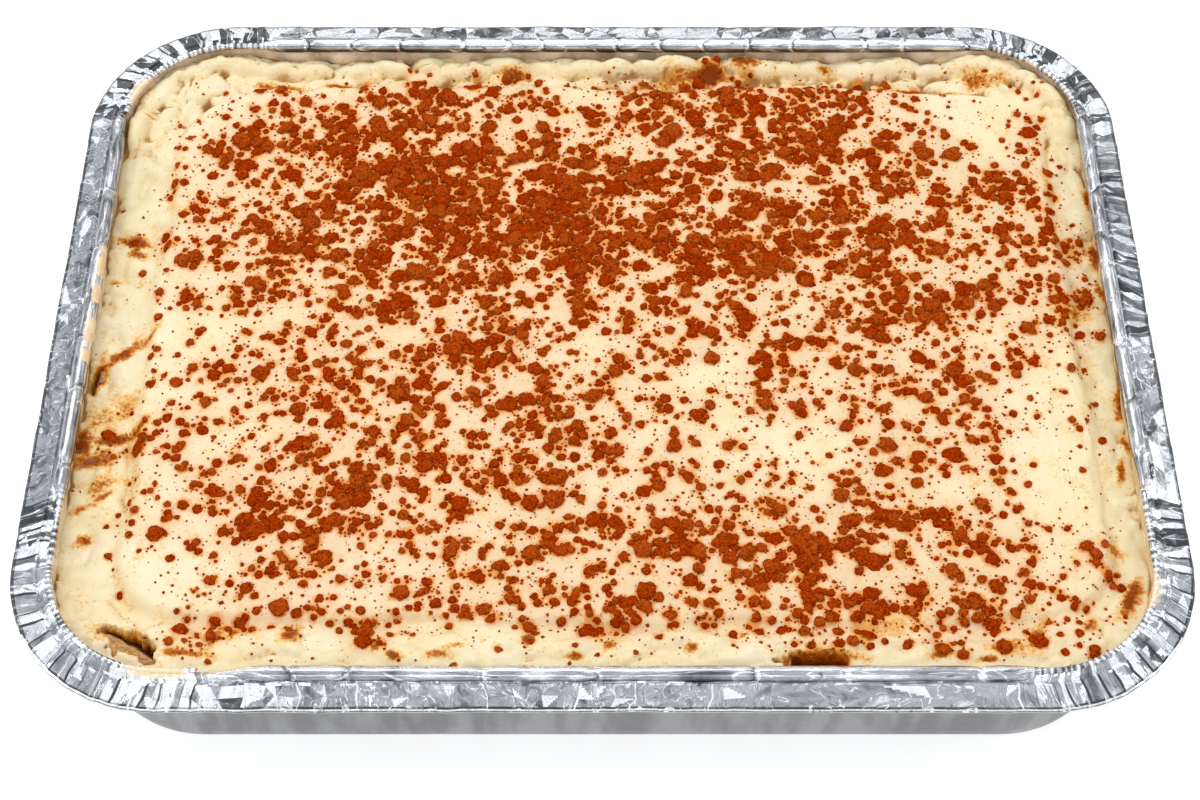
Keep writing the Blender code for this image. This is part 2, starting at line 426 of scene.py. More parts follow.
def foil_material(foil):
    """Bright rolled foil with painted reflections: each facet's painted light, glints and painted shade in
    its creases.
    Dull outside in a darker grey that is painted shade, with smears of cream, and a tan film over the inner
    wall that is partly real film and partly a painted reflection of the cream.
    """
    recipe = Recipe("foil", Metallic=1.0)
    place = recipe.place()
    wall = recipe.attribute("outer_wall")
    smear_and_reflection = recipe.attribute("smear_and_reflection")
    tone = recipe.attribute("tone")
    cloud = recipe.noise(place, 3.2 * MM, 2, 0.5, 0.8)
    fine = recipe.noise(place, 2.6 * MM, 3, 0.6)
    streak = recipe.noise(recipe.stretched(place, (1, 1, 0.12), (0, 0.55, 0)), 7 * MM, 2)
    line = recipe.attribute("line")
    flow = recipe.node("ShaderNodeCombineXYZ", inputs={
        "X": recipe.attribute("along"), "Y": recipe.attribute("across")})
    bend = recipe.noise(flow, 4.2 * MM, 1.0, 0.4, 0.9)
    rib = recipe.noise(flow, 1.3 * MM, 2.0, 0.6, 0.4)
    light = tone + (cloud - 0.5) * 0.22 + (bend - 0.5) * 0.75 + (rib - 0.5) * 0.45
    bare = recipe.mix(recipe.between(light, 0.0, 0.45), scaled(foil.colour, 0.11), scaled(foil.colour, 0.60))
    bare = recipe.mix(recipe.between(light, 0.52, 0.80), bare, scaled(foil.colour, 1.28))
    # Painted highlights and shade: thin white glint lines, then thin dark crease lines, along the noise.
    thin = recipe.between((bend - 0.5) ** 2.0, 0.0, 0.0005, 0.85, 0.0)
    bare = recipe.mix(thin * recipe.between(rib, 0.40, 0.58), bare, FOIL_GLINT)
    seam_shade = recipe.between((bend - 0.60) ** 2.0, 0.0, 0.0003, 0.8, 0.0)
    bare = recipe.mix(seam_shade * recipe.between(rib, 0.45, 0.60), bare, FOIL_CREASE_SHADE)
    # Painted light along the net's creases: a highlight on raised ones and shade in sunken ones.
    bare = recipe.mix(recipe.between(line, 0.28, 0.60), bare, FOIL_GLINT)
    bare = recipe.mix(recipe.between(line, -0.42, -0.16, 1, 0), bare, FOIL_CREASE_SHADE)
    # The dull outer wall: a grey far darker than the foil's, which is painted shade, with lighter streaks.
    dull = recipe.mix(recipe.between(streak, 0.35, 0.65), tuple(foil.wall_colour),
                      scaled(foil.wall_colour, 1.6))
    colour = recipe.mix(wall, bare, dull)
    # Tan film: real smears of cream, and over the whole inner wall a painted reflection of the cream.
    colour = recipe.mix(recipe.between(smear_and_reflection, 0.0, 0.2), colour, recipe.mix(bend, PALE_FILM_AND_REFLECTION, TAN_FILM_AND_REFLECTION))
    patch = recipe.between(smear_and_reflection + (fine - 0.5) * 0.5, 0.42, 0.62)
    colour = recipe.mix(patch, colour, SMEARED_CREAM)
    film = recipe.between(smear_and_reflection, 0.0, 0.14) * 0.75
    rough = recipe.between(fine, 0.3, 0.75, 0.10, 0.16) + wall * 0.24 + patch * 0.2
    warp = recipe.node("ShaderNodeTexNoise", inputs={"Vector": place, "Scale": 1 / (5 * MM)}, output="Color")
    crinkle = recipe.cells(recipe.mix(0.3, place, warp, "LINEAR_LIGHT"), 3.6 * MM, "DISTANCE_TO_EDGE")
    creases = recipe.between(crinkle, 0.0, 0.07) * (1 - wall * 0.85)
    soft = recipe.bump(recipe.noise(place, 4 * MM, 1.5, 0.4), 0.30 * MM, 0.5)
    lines = recipe.bump(creases, 0.04 * MM, 0.6, soft)
    return recipe.feed(Base_Color=colour, Roughness=rough, Metallic=(1 - patch) * (1 - film), Normal=lines)


def cream_material(food):
    """Set cream: glossy and ivory, yellower where it is thick, peach by the cocoa, and stained by coffee,
    with painted shade in its hollows and along the walls.
    """
    recipe = Recipe("cream", Subsurface_Weight=0.05, Subsurface_Scale=1 * MM,
                    Subsurface_Radius=(1.0, 0.6, 0.3), IOR=1.42, Specular_IOR_Level=0.14)
    place = recipe.place()
    halo = recipe.attribute("halo")
    stain = recipe.attribute("stain")
    deep = recipe.attribute("deep")
    dust = recipe.attribute("dust")
    broad = recipe.noise(place, 26 * MM, 3)
    middle = recipe.noise(place, 6 * MM, 4, 0.6)
    fine = recipe.noise(place, 1.1 * MM, 4, 0.65)
    cream = tuple(food.cream)
    colour = recipe.mix(recipe.between(broad, 0.35, 0.65), cream, PALE_CREAM)
    colour = recipe.mix(recipe.between(middle, 0.5, 0.75) * 0.40, colour, YELLOW_CREAM)
    near = recipe.between(halo + (middle - 0.5) * 0.4, 0.05, 0.7)
    colour = recipe.mix(near * 0.88, colour, PEACH_CREAM)
    # Painted shade: tan, then dark brown, where higher cream shuts the cream in and along the walls.
    colour = recipe.mix(recipe.between(deep, 0.18, 0.9) * 0.40, colour, HOLLOW_SHADE_TAN)
    colour = recipe.mix(recipe.between(deep + (fine - 0.5) * 0.7, 0.6, 1.15) * 0.85, colour, HOLLOW_SHADE_DARK)
    rust = recipe.between(dust + (fine - 0.5) * 0.9, 0.10, 0.60)
    colour = recipe.mix(rust * 0.8, colour, COCOA_DUST)
    blot = stain + (middle - 0.5) * 0.9 + (fine - 0.5) * 1.4
    colour = recipe.mix(recipe.between(blot, 0.05, 0.42) * 0.75, colour, WEAK_STAIN)
    colour = recipe.mix(recipe.between(blot, 0.36, 0.66) * 0.96, colour, STRONG_STAIN)
    colour = recipe.mix(recipe.between(blot, 0.68, 0.92) * 0.96, colour, DARK_STAIN)
    rough = recipe.between(middle, 0.35, 0.7, 0.15, 0.33) + near * 0.20
    low = recipe.bump(middle, 0.5 * MM, 0.4)
    skin = recipe.bump(fine, 0.12 * MM, 0.5, low)
    return recipe.feed(Base_Color=colour, Roughness=rough, Normal=skin)


def sponge_material(food):
    """Sponge soaked in coffee: fibrous, wet, and darker in its pores."""
    recipe = Recipe("soaked_sponge", IOR=1.4, Specular_IOR_Level=0.2)
    place = recipe.place()
    fibre = recipe.noise(recipe.stretched(place, (0.6, 2.6, 1.4), (0, 0, 0.55)), 1.4 * MM, 5, 0.7)
    pores = recipe.cells(place, 1.1 * MM)
    broad = recipe.noise(place, 7 * MM, 2)
    sponge = tuple(food.sponge)
    colour = recipe.mix(recipe.between(fibre, 0.35, 0.7), scaled(sponge, 0.36), sponge)
    colour = recipe.mix(recipe.between(broad, 0.45, 0.7) * 0.7, colour, PALE_SPONGE)
    colour = recipe.mix(recipe.between(pores, 0.05, 0.28, 0.5, 0.0), colour, SPONGE_PORE)
    shade = recipe.attribute("shade") + (fibre - 0.5) * 0.8
    colour = recipe.mix(recipe.between(shade, 0.35, 0.85) * 0.92, colour, SPONGE_SHADE)
    rough = recipe.between(fibre, 0.3, 0.7, 0.35, 0.6)
    relief = recipe.bump(fibre, 0.6 * MM, 0.8, recipe.bump(pores, 0.4 * MM, 0.6))
    return recipe.feed(Base_Color=colour, Roughness=rough, Normal=relief)


def cocoa_material(cocoa):
    """Damp cocoa: rusty brown and floury, with painted shade in the creases between its lumps, and a lighter
    orange foot round each lump that is partly dust and partly painted light.
    """
    recipe = Recipe("cocoa", IOR=1.3, Specular_IOR_Level=0.0)
    place = recipe.place()
    shade = recipe.attribute("shade")
    grain = recipe.noise(place, 0.4 * MM, 3, 0.65)
    lump = recipe.noise(place, 1.1 * MM, 2, 0.5, 0.6)
    colour = recipe.mix(recipe.between(grain, 0.3, 0.7), scaled(cocoa.colour, 0.56),
                        scaled(cocoa.colour, 1.34))
    colour = recipe.mix(recipe.between(shade + (lump - 0.5) * 0.8, 0.25, 1.1) * 0.6, colour, PALE_COCOA)
    # Painted shade in the creases between lumps.
    crease = recipe.between((lump - 0.5) ** 2.0, 0.0, 0.0030, 0.85, 0.0)
    colour = recipe.mix(crease, colour, COCOA_CREASE_SHADE)
    # A lighter orange foot round each lump: partly dust, partly painted light on its shaded side.
    skirt = recipe.attribute("skirt") + (grain - 0.5) * 0.4
    colour = recipe.mix(recipe.between(skirt, 0.1, 0.7) * 0.75, colour, COCOA_LIT_DUSTY_SKIRT)
    relief = recipe.bump(grain, 0.22 * MM, 0.8, recipe.bump(lump, 0.5 * MM, 0.7))
    return recipe.feed(Base_Color=colour, Roughness=recipe.between(grain, 0.3, 0.7, 0.75, 0.95),
                       Normal=relief)


def floor_material(stage):
    """A matt pale floor that gives some light by itself, so that it stays near white."""
    recipe = Recipe("floor", Roughness=0.7, Emission_Color=(1, 1, 1, 1), Emission_Strength=stage.glow)
    place = recipe.place()
    speck = recipe.noise(place, 40 * MM, 2)
    colour = recipe.mix(recipe.between(speck, 0.3, 0.7), tuple(stage.floor), scaled(stage.floor, 0.985))
    return recipe.feed(Base_Color=colour)


# ---------------------------------------------------------------- the way round the rim


class RimPath:
    """The rounded rectangle of the tray, walked anticlockwise from above."""

    MIDDLE_INSET = 5 * MM

    def __init__(self, foil):
        self.half_x = foil.length / 2
        self.half_y = foil.width / 2
        self.corner = foil.corner
        steps = np.linspace(0, 8, 8 * 400 + 1)
        x, y = self.points(steps, self.MIDDLE_INSET, self.corner - self.MIDDLE_INSET)
        walked = np.concatenate([[0], np.cumsum(np.hypot(np.diff(x), np.diff(y)))])
        self.steps = steps
        self.walked = walked
        self.length = walked[-1]

    def points(self, step, inset, radius):
        """Where the path lies at a step: 0-1 is the first corner, 1-2 the side after it, and so on."""
        pair = np.floor(step / 2).astype(int)
        phase = step - 2 * pair
        turn = np.minimum(phase, 1)
        along = np.maximum(phase - 1, 0)
        x, y = self.corner_points(pair % 4, turn, inset, radius)
        next_x, next_y = self.corner_points((pair + 1) % 4, 0 * turn, inset, radius)
        return x + (next_x - x) * along, y + (next_y - y) * along

    def corner_points(self, corner, turn, inset, radius):
        angle = math.pi / 2 * (corner + turn)
        return (CORNER_X[corner] * (self.half_x - inset - radius) + radius * np.cos(angle),
                CORNER_Y[corner] * (self.half_y - inset - radius) + radius * np.sin(angle))

    def outward(self, step):
        pair = np.floor(step / 2)
        angle = math.pi / 2 * (pair + np.minimum(step - 2 * pair, 1))
        return np.cos(angle), np.sin(angle)

    def step_at(self, distance):
        """The step at a distance walked round the rim's middle."""
        lap = np.floor(distance / self.length)
        return np.interp(distance - lap * self.length, self.walked, self.steps) + 8 * lap

    def side_start(self, side):
        return float(np.interp(2 * side + 1, self.steps, self.walked))

    def side_end(self, side):
        return float(np.interp(2 * side + 2, self.steps, self.walked))


# How far each side's bead runs past the straight at its start and its end, on the way round.
BEAD_OVERRUN = {BACK: (8 * MM, -9 * MM), LEFT: (3 * MM, -22 * MM), FRONT: (-12 * MM, -3 * MM),
                RIGHT: (-25 * MM, 8 * MM)}


def bead_reach(path, side):
    """The distances round the rim at which a side's bead starts and ends."""
    before, after = BEAD_OVERRUN[side]
    return path.side_start(side) - before, path.side_end(side) + after


def bead_cover(path, distance, soft):
    """1 where a bead covers the rim, and 0 in the pleated corners."""
    cover = 0
    for side in (BACK, LEFT, FRONT, RIGHT):
        start, end = bead_reach(path, side)
        cover = cover + window(distance, start, end, soft)
        cover = cover + window(distance + path.length, start, end, soft)
        cover = cover + window(distance - path.length, start, end, soft)
    return np.clip(cover, 0, 1)


# The kinds of crumpling round the rim. For each: usual width of a facet, how far its creases stand up and
# down, how regular that is, how light the painted reflection on its facets is, how much that differs, how
# much lighter every other one is painted, how light the painted highlight on its raised creases and the
# painted shade in its sunken ones show as thin lines, and what share of its facets carry a painted glint.
Crumple = namedtuple("Crumple", "pitch height regular light contrast alternate raised sunken glint")
CRUMPLES = {"pleats": Crumple(2.1 * MM, 0.48 * MM, 0.85, 0.54, 0.58, 0.0, 0.3, -1.0, 0.0),
            "combs": Crumple(2.2 * MM, 0.46 * MM, 0.85, 0.70, 0.40, 0.0, 0.3, -1.0, 0.0),
            "facets": Crumple(4.6 * MM, 0.75 * MM, 0.30, 0.56, 0.50, 0.0, 0.6, -0.6, 0.0),
            "waves": Crumple(3.3 * MM, 0.50 * MM, 0.45, 0.42, 0.12, 0.0, 1.0, -0.3, 0.10),
            "calm": Crumple(8.0 * MM, 0.24 * MM, 0.0, 0.42, 0.08, 0.0, 0.4, 0.0, 0.02),
            "ridges": Crumple(2.7 * MM, 0.50 * MM, 0.85, 0.54, 0.12, 0.36, 0.5, 0.0, 0.0),
            "sheets": Crumple(6.0 * MM, 0.55 * MM, 0.10, 0.40, 0.26, 0.0, 0.8, -0.3, 0.06),
            "glints": Crumple(5.4 * MM, 0.20 * MM, 0.0, 0.37, 0.10, 0.0, 0.3, -0.2, 0.07)}


def rim_zones(path, distance):
    """How much each place round the rim belongs to each kind of crumpling."""
    x, y = path.points(path.step_at(distance), path.MIDDLE_INSET, path.corner - path.MIDDLE_INSET)
    side = bead_cover(path, distance, 12 * MM)
    front = smooth_step((-y - path.half_y + 30 * MM) / (10 * MM))
    back = smooth_step((y - path.half_y + 30 * MM) / (10 * MM))
    right = smooth_step((x - path.half_x + 30 * MM) / (10 * MM)) * (1 - front) * (1 - back)
    left = smooth_step((-x - path.half_x + 30 * MM) / (10 * MM)) * (1 - front) * (1 - back)
    calm = window(x, 34 * MM, 104 * MM, 16 * MM)
    crumpled = window(x, -150 * MM, -86 * MM, 14 * MM)
    ridged = window(y, -6 * MM, 88 * MM, 14 * MM)
    near = (1 - side) * smooth_step((-y - 70 * MM) / (14 * MM))
    return {"pleats": 1 - side - near, "combs": near, "facets": side * (front * crumpled + back),
            "waves": side * front * (1 - crumpled) * (1 - calm), "calm": side * front * calm,
            "ridges": side * right * ridged, "sheets": side * right * (1 - ridged), "glints": side * left}


class CreaseNet:
    """A net of creases round the rim, with flat facets between them, and the painted light on the facets and
    along the creases.
    """

    # How far in from the rim's edge its rows lie, and how freely each moves.
    INSETS = np.array((7.6, 6.6, 3.6, 0.6)) * MM
    FREEDOM = np.array((0.25, 0.55, 1.0, 0.30))

    def __init__(self, path):
        rng = np.random.default_rng(31)
        finest = np.arange(0, path.length, 0.1 * MM)
        count = np.cumsum(0.1 * MM / self.facts(path, finest).pitch)
        knots = np.interp(np.arange(0, 2 * int(count[-1] / 2)), count, finest)
        gaps = np.diff(np.append(knots, path.length))
        lens = rim_zones(path, knots)["ridges"]
        turns = np.where(np.arange(len(knots)) % 2, 1, -1)
        jitter = (0.44 - 0.32 * lens) * rng.uniform(-1, 1, len(knots)) + 0.12 * lens * turns
        self.knots = knots + gaps * jitter + 0.5 * gaps[0]
        kind = self.facts(path, self.knots)
        shape = (len(self.INSETS), len(knots))
        loose = 1 - kind.regular
        depth = kind.regular * turns * rng.uniform(0.4, 1.0, len(knots)) + loose * rng.uniform(-1, 1, shape)
        depth = depth + 0.25 * rng.uniform(-1, 1, shape)
        self.lift = kind.height * depth * self.FREEDOM[:, None]
        lean = 1.2 * soft_noise(self.knots, 0 * self.knots, 22 * MM, 32)
        lean = lean * (np.arange(4)[:, None] - 1.5) * 0.8 * MM
        drift = (0.14 + 0.26 * loose) * kind.pitch
        self.shift = lean + drift * rng.uniform(-1, 1, shape) * np.array((0.2, 0.6, 1, 0.8))[:, None]
        self.shift = self.shift + 0.55 * MM * lens * turns * np.array((1, 1, -0.2, 1))[:, None]
        self.reach = 0.7 * MM * rng.uniform(-1, 1, shape) * np.array((0, 0.4, 1, 0.2))[:, None]
        self.flip = rng.uniform(0, 1, shape) < 0.5
        # Painted light: each facet's painted reflection, and how light the painted crease lines show.
        own = rng.uniform(-1, 1, (2, *shape))
        shared = np.sign(rng.uniform(-1, 1, len(knots))) * rng.uniform(0.3, 1, len(knots))
        spread = np.where(rng.uniform(0, 1, (2, *shape)) < 0.15 + 0.80 * kind.regular, shared, own)
        differ = kind.contrast * np.sign(spread) * np.abs(spread) ** 0.6
        tones = kind.light + differ + kind.alternate * turns
        self.tones = np.where(rng.uniform(0, 1, (2, *shape)) < kind.glint, 1, tones)
        line = np.where(turns > 0, kind.raised, kind.sunken) * rng.uniform(0.15, 1.0, len(knots))
        self.lines = line * np.array((0.4, 0.9, 1.0, 0.7))[:, None]

    @staticmethod
    def facts(path, distance):
        """The crumpling at a distance round the rim, blended from the kinds that meet there."""
        zones = rim_zones(path, distance)
        return Crumple(*(sum(weight * CRUMPLES[name][which] for name, weight in zones.items())
                         for which in range(len(Crumple._fields))))

    def columns(self, path, spacing):
        """The knot before each column of the rim's mesh, how far on to the next it is, and its distance."""
        after = np.append(self.knots[1:], self.knots[0] + path.length)
        counts = np.maximum(2, np.round((after - self.knots) / spacing)).astype(int)
        knot = np.repeat(np.arange(len(self.knots)), counts)
        share = np.concatenate([np.arange(count) / count for count in counts])
        return knot, share, self.knots[knot] + share * (after - self.knots)[knot]

    def cell(self, inset):
        """The net's row at or outside of an inset, and how far on it is to the next."""
        place = np.interp(-inset, -self.INSETS, np.arange(4))
        row = min(int(place + 1e-6), 2)
        return row, place - row

    def sample(self, values, knot, share, inset):
        """A value of the net's points, flat over each triangle between them."""
        row, up = self.cell(inset)
        after = (knot + 1) % len(self.knots)
        flip = self.flip[row, knot]
        near, far = np.where(flip, after, knot), np.where(flip, knot, after)
        right = np.where(flip, 1 - share, share)
        a, b, c, d = values[row, near], values[row, far], values[row + 1, near], values[row + 1, far]
        return np.where(right + up < 1, a + (b - a) * right + (c - a) * up,
                        d + (c - d) * (1 - right) + (b - d) * (1 - up))

    def line(self, knot, share, inset):
        """Painted light along the creases: over 0 a painted highlight on a raised crease, under 0 painted
        shade in a sunken one, and 0 between them.
        """
        row, up = self.cell(inset)
        here = self.lines[row, knot] * (1 - up) + self.lines[row + 1, knot] * up
        return np.where(share == 0, here, 0)

    def tone(self, knot, share, inset):
        """How light the painted reflection on each facet is, from 0 to 1."""
        row, up = self.cell(inset)
        flip = self.flip[row, knot]
        right = np.where(flip, 1 - share, share)
        return np.clip(self.tones[(right + up < 1).astype(int), row, knot], 0, 1)


def wall_sway(path, distance, height):
    """How far the whole wall strays inwards: slow waves, and shallow flutes in the corners."""
    corner = 1 - bead_cover(path, distance, 12 * MM)
    sway = 0.12 * MM * layered_noise(distance, height + 0 * distance, 40 * MM, 59, 2)
    sway = sway + 0.08 * MM * folds(distance, 4.5 * MM, path.length, 58, 0.8, 0.5) * corner
    return sway * smooth_step((height - 4 * MM) / (6 * MM)) * (1 - smooth_step((height - 29 * MM) / (8 * MM)))


def wall_dents(path, distance, height, x, y):
    """How far the inner skin is pushed in: flutes in the corners, and thumb dents under the back bead."""
    upper = smooth_step((height - 22 * MM) / (20 * MM))
    top = 1 - smooth_step((height - 44.5 * MM) / (2 * MM))
    corner = 1 - bead_cover(path, distance, 12 * MM)
    flutes = 0.34 * MM * (0.8 + folds(distance, 5.2 * MM, path.length, 51, 0.8, 0.7)) * corner
    back = smooth_step((y - path.half_y + 26 * MM) / (8 * MM)) * (1 - corner)
    dent_middle = 41.6 * MM + 0.9 * MM * soft_noise(distance, 0 * distance, 13 * MM, 52)
    dent_pitch = 13.5 * MM
    strayed = distance + 2 * MM * soft_noise(distance, 0 * distance, 31 * MM, 53)
    round_x = np.mod(strayed, dent_pitch) / dent_pitch - 0.5
    thumb = np.clip(1 - (round_x / 0.33) ** 2 - ((height - dent_middle) / (4.2 * MM)) ** 2, 0, 1)
    waves = 0.55 * MM * facets(x + y, height, 6 * MM, 54) + 0.25 * MM * soft_noise(x - y, height, 15 * MM, 55)
    return np.maximum(upper * top * (flutes + waves + 1.3 * MM * np.sqrt(thumb) * back), -0.08 * MM)


# Places on the foil where cream or cocoa is smeared: x, y and half width.
FOIL_SMEARS = (
    (-149.5, 4, 9), (-150, 24, 5), (-150.5, -16, 6), (-143, 92, 6), (143, -88, 7), (-118, -114, 7),
    (134, 101, 5),
)


def smear_amount(x, y, height):
    """Cream smeared on the foil, from 0 to 1, on the wall above the cream and the inside of the rim."""
    amount = 0
    for middle_x, middle_y, half in FOIL_SMEARS:
        reach = np.hypot(x - middle_x * MM, y - middle_y * MM) / (half * MM)
        amount = np.maximum(amount, 1 - 0.75 * reach)
    line = 40.8 * MM + 1.2 * MM * soft_noise(x, y, 6 * MM, 61) + 0.8 * MM * soft_noise(x, y, 1.9 * MM, 62)
    tide = smooth_step((line - height) / (1.0 * MM))
    return np.clip(np.maximum(amount * smooth_step((48.8 * MM - height) / (2 * MM)), tide), 0, 1)


# A cut's rows of inset, height and corner radius, and the rows where the rim, its flat band, its lip and the
# outside start.
Cut = namedtuple("Cut", "rows rim band lip outside")


def tray_section(foil):
    """One cut through the foil, from its inside floor over the rim to its underside."""
    skin = 0.35 * MM
    bend = foil.bend
    soft = 0.29 * bend
    inner = foil.wall_corner - skin

    def wall(height, deeper, radius):
        return wall_inset_at(foil, height) + deeper, height, radius

    inside = [(foil.foot_inset + skin + bend, skin, inner - bend),
              (foil.foot_inset + skin + soft, skin + soft, inner - soft)]
    inside += [wall(height * MM, skin, inner) for height in (6, 24, 35, 37, 38.5, 40, 41.2, 42.4, 43.6, 44.7)]
    crest = [(10.1, 45.7), (10.15, 46.6), (9.9, 47.4), (9.4, 47.85), (8.8, 47.8), (8.35, 47.4), (7.95, 47.0)]
    band = [(7.6, 46.75), (7.1, 47.2)]
    band += [(inset, 45.25 + 0.2 * inset + 0.0066 * inset**2) for inset in np.arange(6.6, 0.5, -0.5)]
    lip = [(0.5, 45.3), (0.1, 45.1), (0.0, 44.65), (0.05, 44.15), (0.45, 44.0)]
    under = [(1.4, 44.55), (3.5, 45.1), (6.0, 45.5), (8.6, 45.6)]
    rim = [(inset * MM, height * MM, foil.corner - inset * MM)
           for inset, height in crest + band + lip + under]
    outside = [wall(height * MM, 0, foil.wall_corner) for height in (44.9, 43, 38, 30, 20, 10, 5)]
    base = [(foil.foot_inset + soft, soft, foil.wall_corner - soft),
            (foil.foot_inset + bend, 0, foil.wall_corner - bend)]
    rim_start = len(inside)
    band_start = rim_start + len(crest)
    return Cut(inside + rim + outside + base, rim_start, band_start, band_start + len(band),
               rim_start + len(rim))


def wall_inset_at(foil, height):
    """How far in from the rim's edge the outside of the wall lies at a height."""
    top = foil.rim_height + 0.4 * MM
    return foil.wall_inset + (foil.foot_inset - foil.wall_inset) * (top - height) / (top - foil.bend)


# The columns of the shell's mesh: each one's knot in the net, how far on to the next knot it is, its distance
# round the rim, and how much it belongs to the pleats between the beads.
Columns = namedtuple("Columns", "path net knot share distance pleated")


def rim_row(columns, inset, height, radius, below):
    """A row of points over the rim, creased on its band and crimped on its crest, and how far in each is."""
    path, net, knot, share, distance, pleated = columns
    crest = smooth_step((inset - 7.6 * MM) / (2 * MM))
    hold = (1 - crest) * (1 - 0.8 * below)
    moved = distance + hold * net.sample(net.shift, knot, share, inset)
    reach = hold * net.sample(net.reach, knot, share, inset)
    x, y = path.points(path.step_at(moved), inset + reach, radius - reach)
    z = height + hold * net.sample(net.lift, knot, share, inset)
    z = z + 0.05 * MM * soft_noise(x, y, 2.6 * MM, 35) + 0.08 * MM * soft_noise(x, y, 9 * MM, 36)
    inward = 0.12 * MM * soft_noise(distance, 0 * distance, 9 * MM, 41)
    inward = inward * smooth_step(1.4 - inset / (2 * MM))
    crimps = folds(distance, 2.3 * MM, path.length, 46, 0.6, 0.5) * pleated * crest
    z = z + MM * crest * (0.25 * soft_noise(distance, 0 * distance, 6 * MM, 44)) + 0.16 * MM * crimps
    inward = inward + MM * crest * 0.3 * soft_noise(distance, 0 * distance, 5 * MM, 45)
    inward = inward + 0.26 * MM * crimps
    return x, y, z, inward + 0.3 * MM * pleated * smooth_step((inset - 8.2 * MM) / (1.2 * MM))


def row_painted_light(columns, cut, row, inset, height):
    """How light the painted reflection on the facets below a row is, with a painted highlight line and a
    painted shade line along the rim's lip.
    """
    path, net, knot, share, distance, pleated = columns
    # Below the rim, the inner wall gets random facets of painted reflection.
    if row < cut.rim:
        return 0.6 + 0.6 * facets(distance, height + 0 * distance, 5 * MM, 57)
    # The lip gets a painted highlight on its top row, painted shade on the next, and is lighter again below.
    lip = {cut.lip: 0.95, cut.lip + 1: 0.0, cut.lip + 2: 0.85}.get(row, 0.62)
    tone = np.full(len(distance), lip)
    if row < cut.band - 1:
        tone = np.where(pleated > 0.5, net.tone(knot, share + 0.1, 7 * MM), lip)
    elif row < cut.lip:
        # The band's facets, with painted shade on the last two rows before the lip.
        tone = net.tone(knot, share + 0.1, max(inset - 0.25 * MM, 0)) - (0.45 if row >= cut.lip - 2 else 0)
    # Painted shade: a dark outline along the lip everywhere but at the front.
    if row in (cut.lip - 1, cut.lip):
        facing_front = path.outward(path.step_at(distance))[1] < -0.5
        tone = np.where(facing_front, tone, 0.05)
    return tone


def build_tray_shell(foil, material):
    """The sheet of foil: one closed skin from the floor's inside, over the creased rim, to the underside."""
    path = RimPath(foil)
    net = CreaseNet(path)
    knot, share, distance = net.columns(path, foil.crease_spacing)
    columns = Columns(path, net, knot, share, distance, 1 - bead_cover(path, distance, 9 * MM))
    step = path.step_at(distance)
    out_x, out_y = path.outward(step)
    cut = tray_section(foil)
    zones = rim_zones(path, distance)
    spread = 0.16 + 0.74 * (1 - zones["pleats"] - zones["combs"] - zones["ridges"])
    none = np.zeros_like(distance)
    points = []
    tones = []
    marks = {"outer_wall": [], "smear_and_reflection": [], "line": [], "along": [], "across": []}
    for row, (inset, height, radius) in enumerate(cut.rows):
        if cut.rim <= row < cut.outside:
            x, y, z, inward = rim_row(columns, inset, height, radius, smooth_step((row - cut.lip - 4) / 4))
        else:
            x, y = path.points(step, inset, radius)
            z = np.full_like(x, height)
            inward = wall_sway(path, distance, height)
            if row < cut.rim:
                inward = inward + wall_dents(path, distance, height, x, y)
        points.append(np.stack([x - out_x * inward, y - out_y * inward, z], axis=-1))
        tones.append(row_painted_light(columns, cut, row, inset, height))
        marks["outer_wall"].append(np.full_like(x, row >= cut.lip + 3))
        marks["along"].append(distance * (1.0 - 0.35 * zones["calm"]))
        marks["across"].append((inset - 0.4 * z) * spread)
        # Every row of the inner wall gets some film, which is a painted reflection of the cream.
        film = 0.14 if row <= cut.rim else 0.0
        marks["smear_and_reflection"].append(np.maximum(smear_amount(x, y, z), film) if row < cut.band - 2 else none)
        # The band's crease lines of painted highlight and shade.
        marks["line"].append(net.line(knot, share, inset) if cut.band - 1 <= row < cut.lip else none)
    shell = mesh_object("foil_shell", np.concatenate(points), ring_faces(len(points), len(distance)),
                        {key: np.concatenate(values) for key, values in marks.items()},
                        {"tone": np.concatenate(tones[:-1])})
    finish_mesh(shell, material, 11)
    hand_over(shell, "foil", "foil_tray")
    return shell


# How each side's bead is pinched: how many times, how deep, how dark the painted shade in its folds is. Then
# how bright the painted highlight along its top is.
Bead = namedtuple("Bead", "pinches depth fold shine")
BEADS = {BACK: Bead(14, 0.42, 0.8, 1.0), LEFT: Bead(7, 0.28, 0.4, 0.2), FRONT: Bead(7, 0.28, 0.4, 0.9),
         RIGHT: Bead(7, 0.28, 0.4, 0.15)}
BEAD_INSET = 10 * MM
BEAD_HEIGHT = 46.7 * MM
BEAD_SKIN = 0.3 * MM
BEAD_CUTS = 15


def tube_faces(grid):
    """The faces of a tube of numbered points, closed round, and capped at both ends by strips across it."""
    after = np.roll(grid, -1, axis=0)
    faces = [np.stack([grid[:, :-1], grid[:, 1:], after[:, 1:], after[:, :-1]], axis=-1).reshape(-1, 4)]
    for ends in (grid[:, 0], grid[:, -1]):
        faces.append(np.array([[ends[i], ends[i + 1], ends[-2 - i], ends[-1 - i]]
                               for i in range(len(grid) // 2 - 1)]))
    return np.concatenate(faces)


def bead_smear(x, y, height):
    """Cream smeared on the beads: in patches on the left one's inner half, and low down on the others."""
    left = smooth_step((-145 * MM - x) / (2 * MM))
    patchy = np.clip(0.45 + 1.4 * soft_noise(2.6 * x, y, 7 * MM, 69), 0, 1) * left
    patchy = patchy * smooth_step((x + 151.4 * MM + 0.9 * MM * soft_noise(x, y, 4 * MM, 68)) / (1.2 * MM))
    high = 1 - smooth_step((height - 47.6 * MM) / (0.8 * MM))
    return smear_amount(x, y, np.minimum(height, 46 * MM)) * np.maximum(high * (1 - left), patchy)


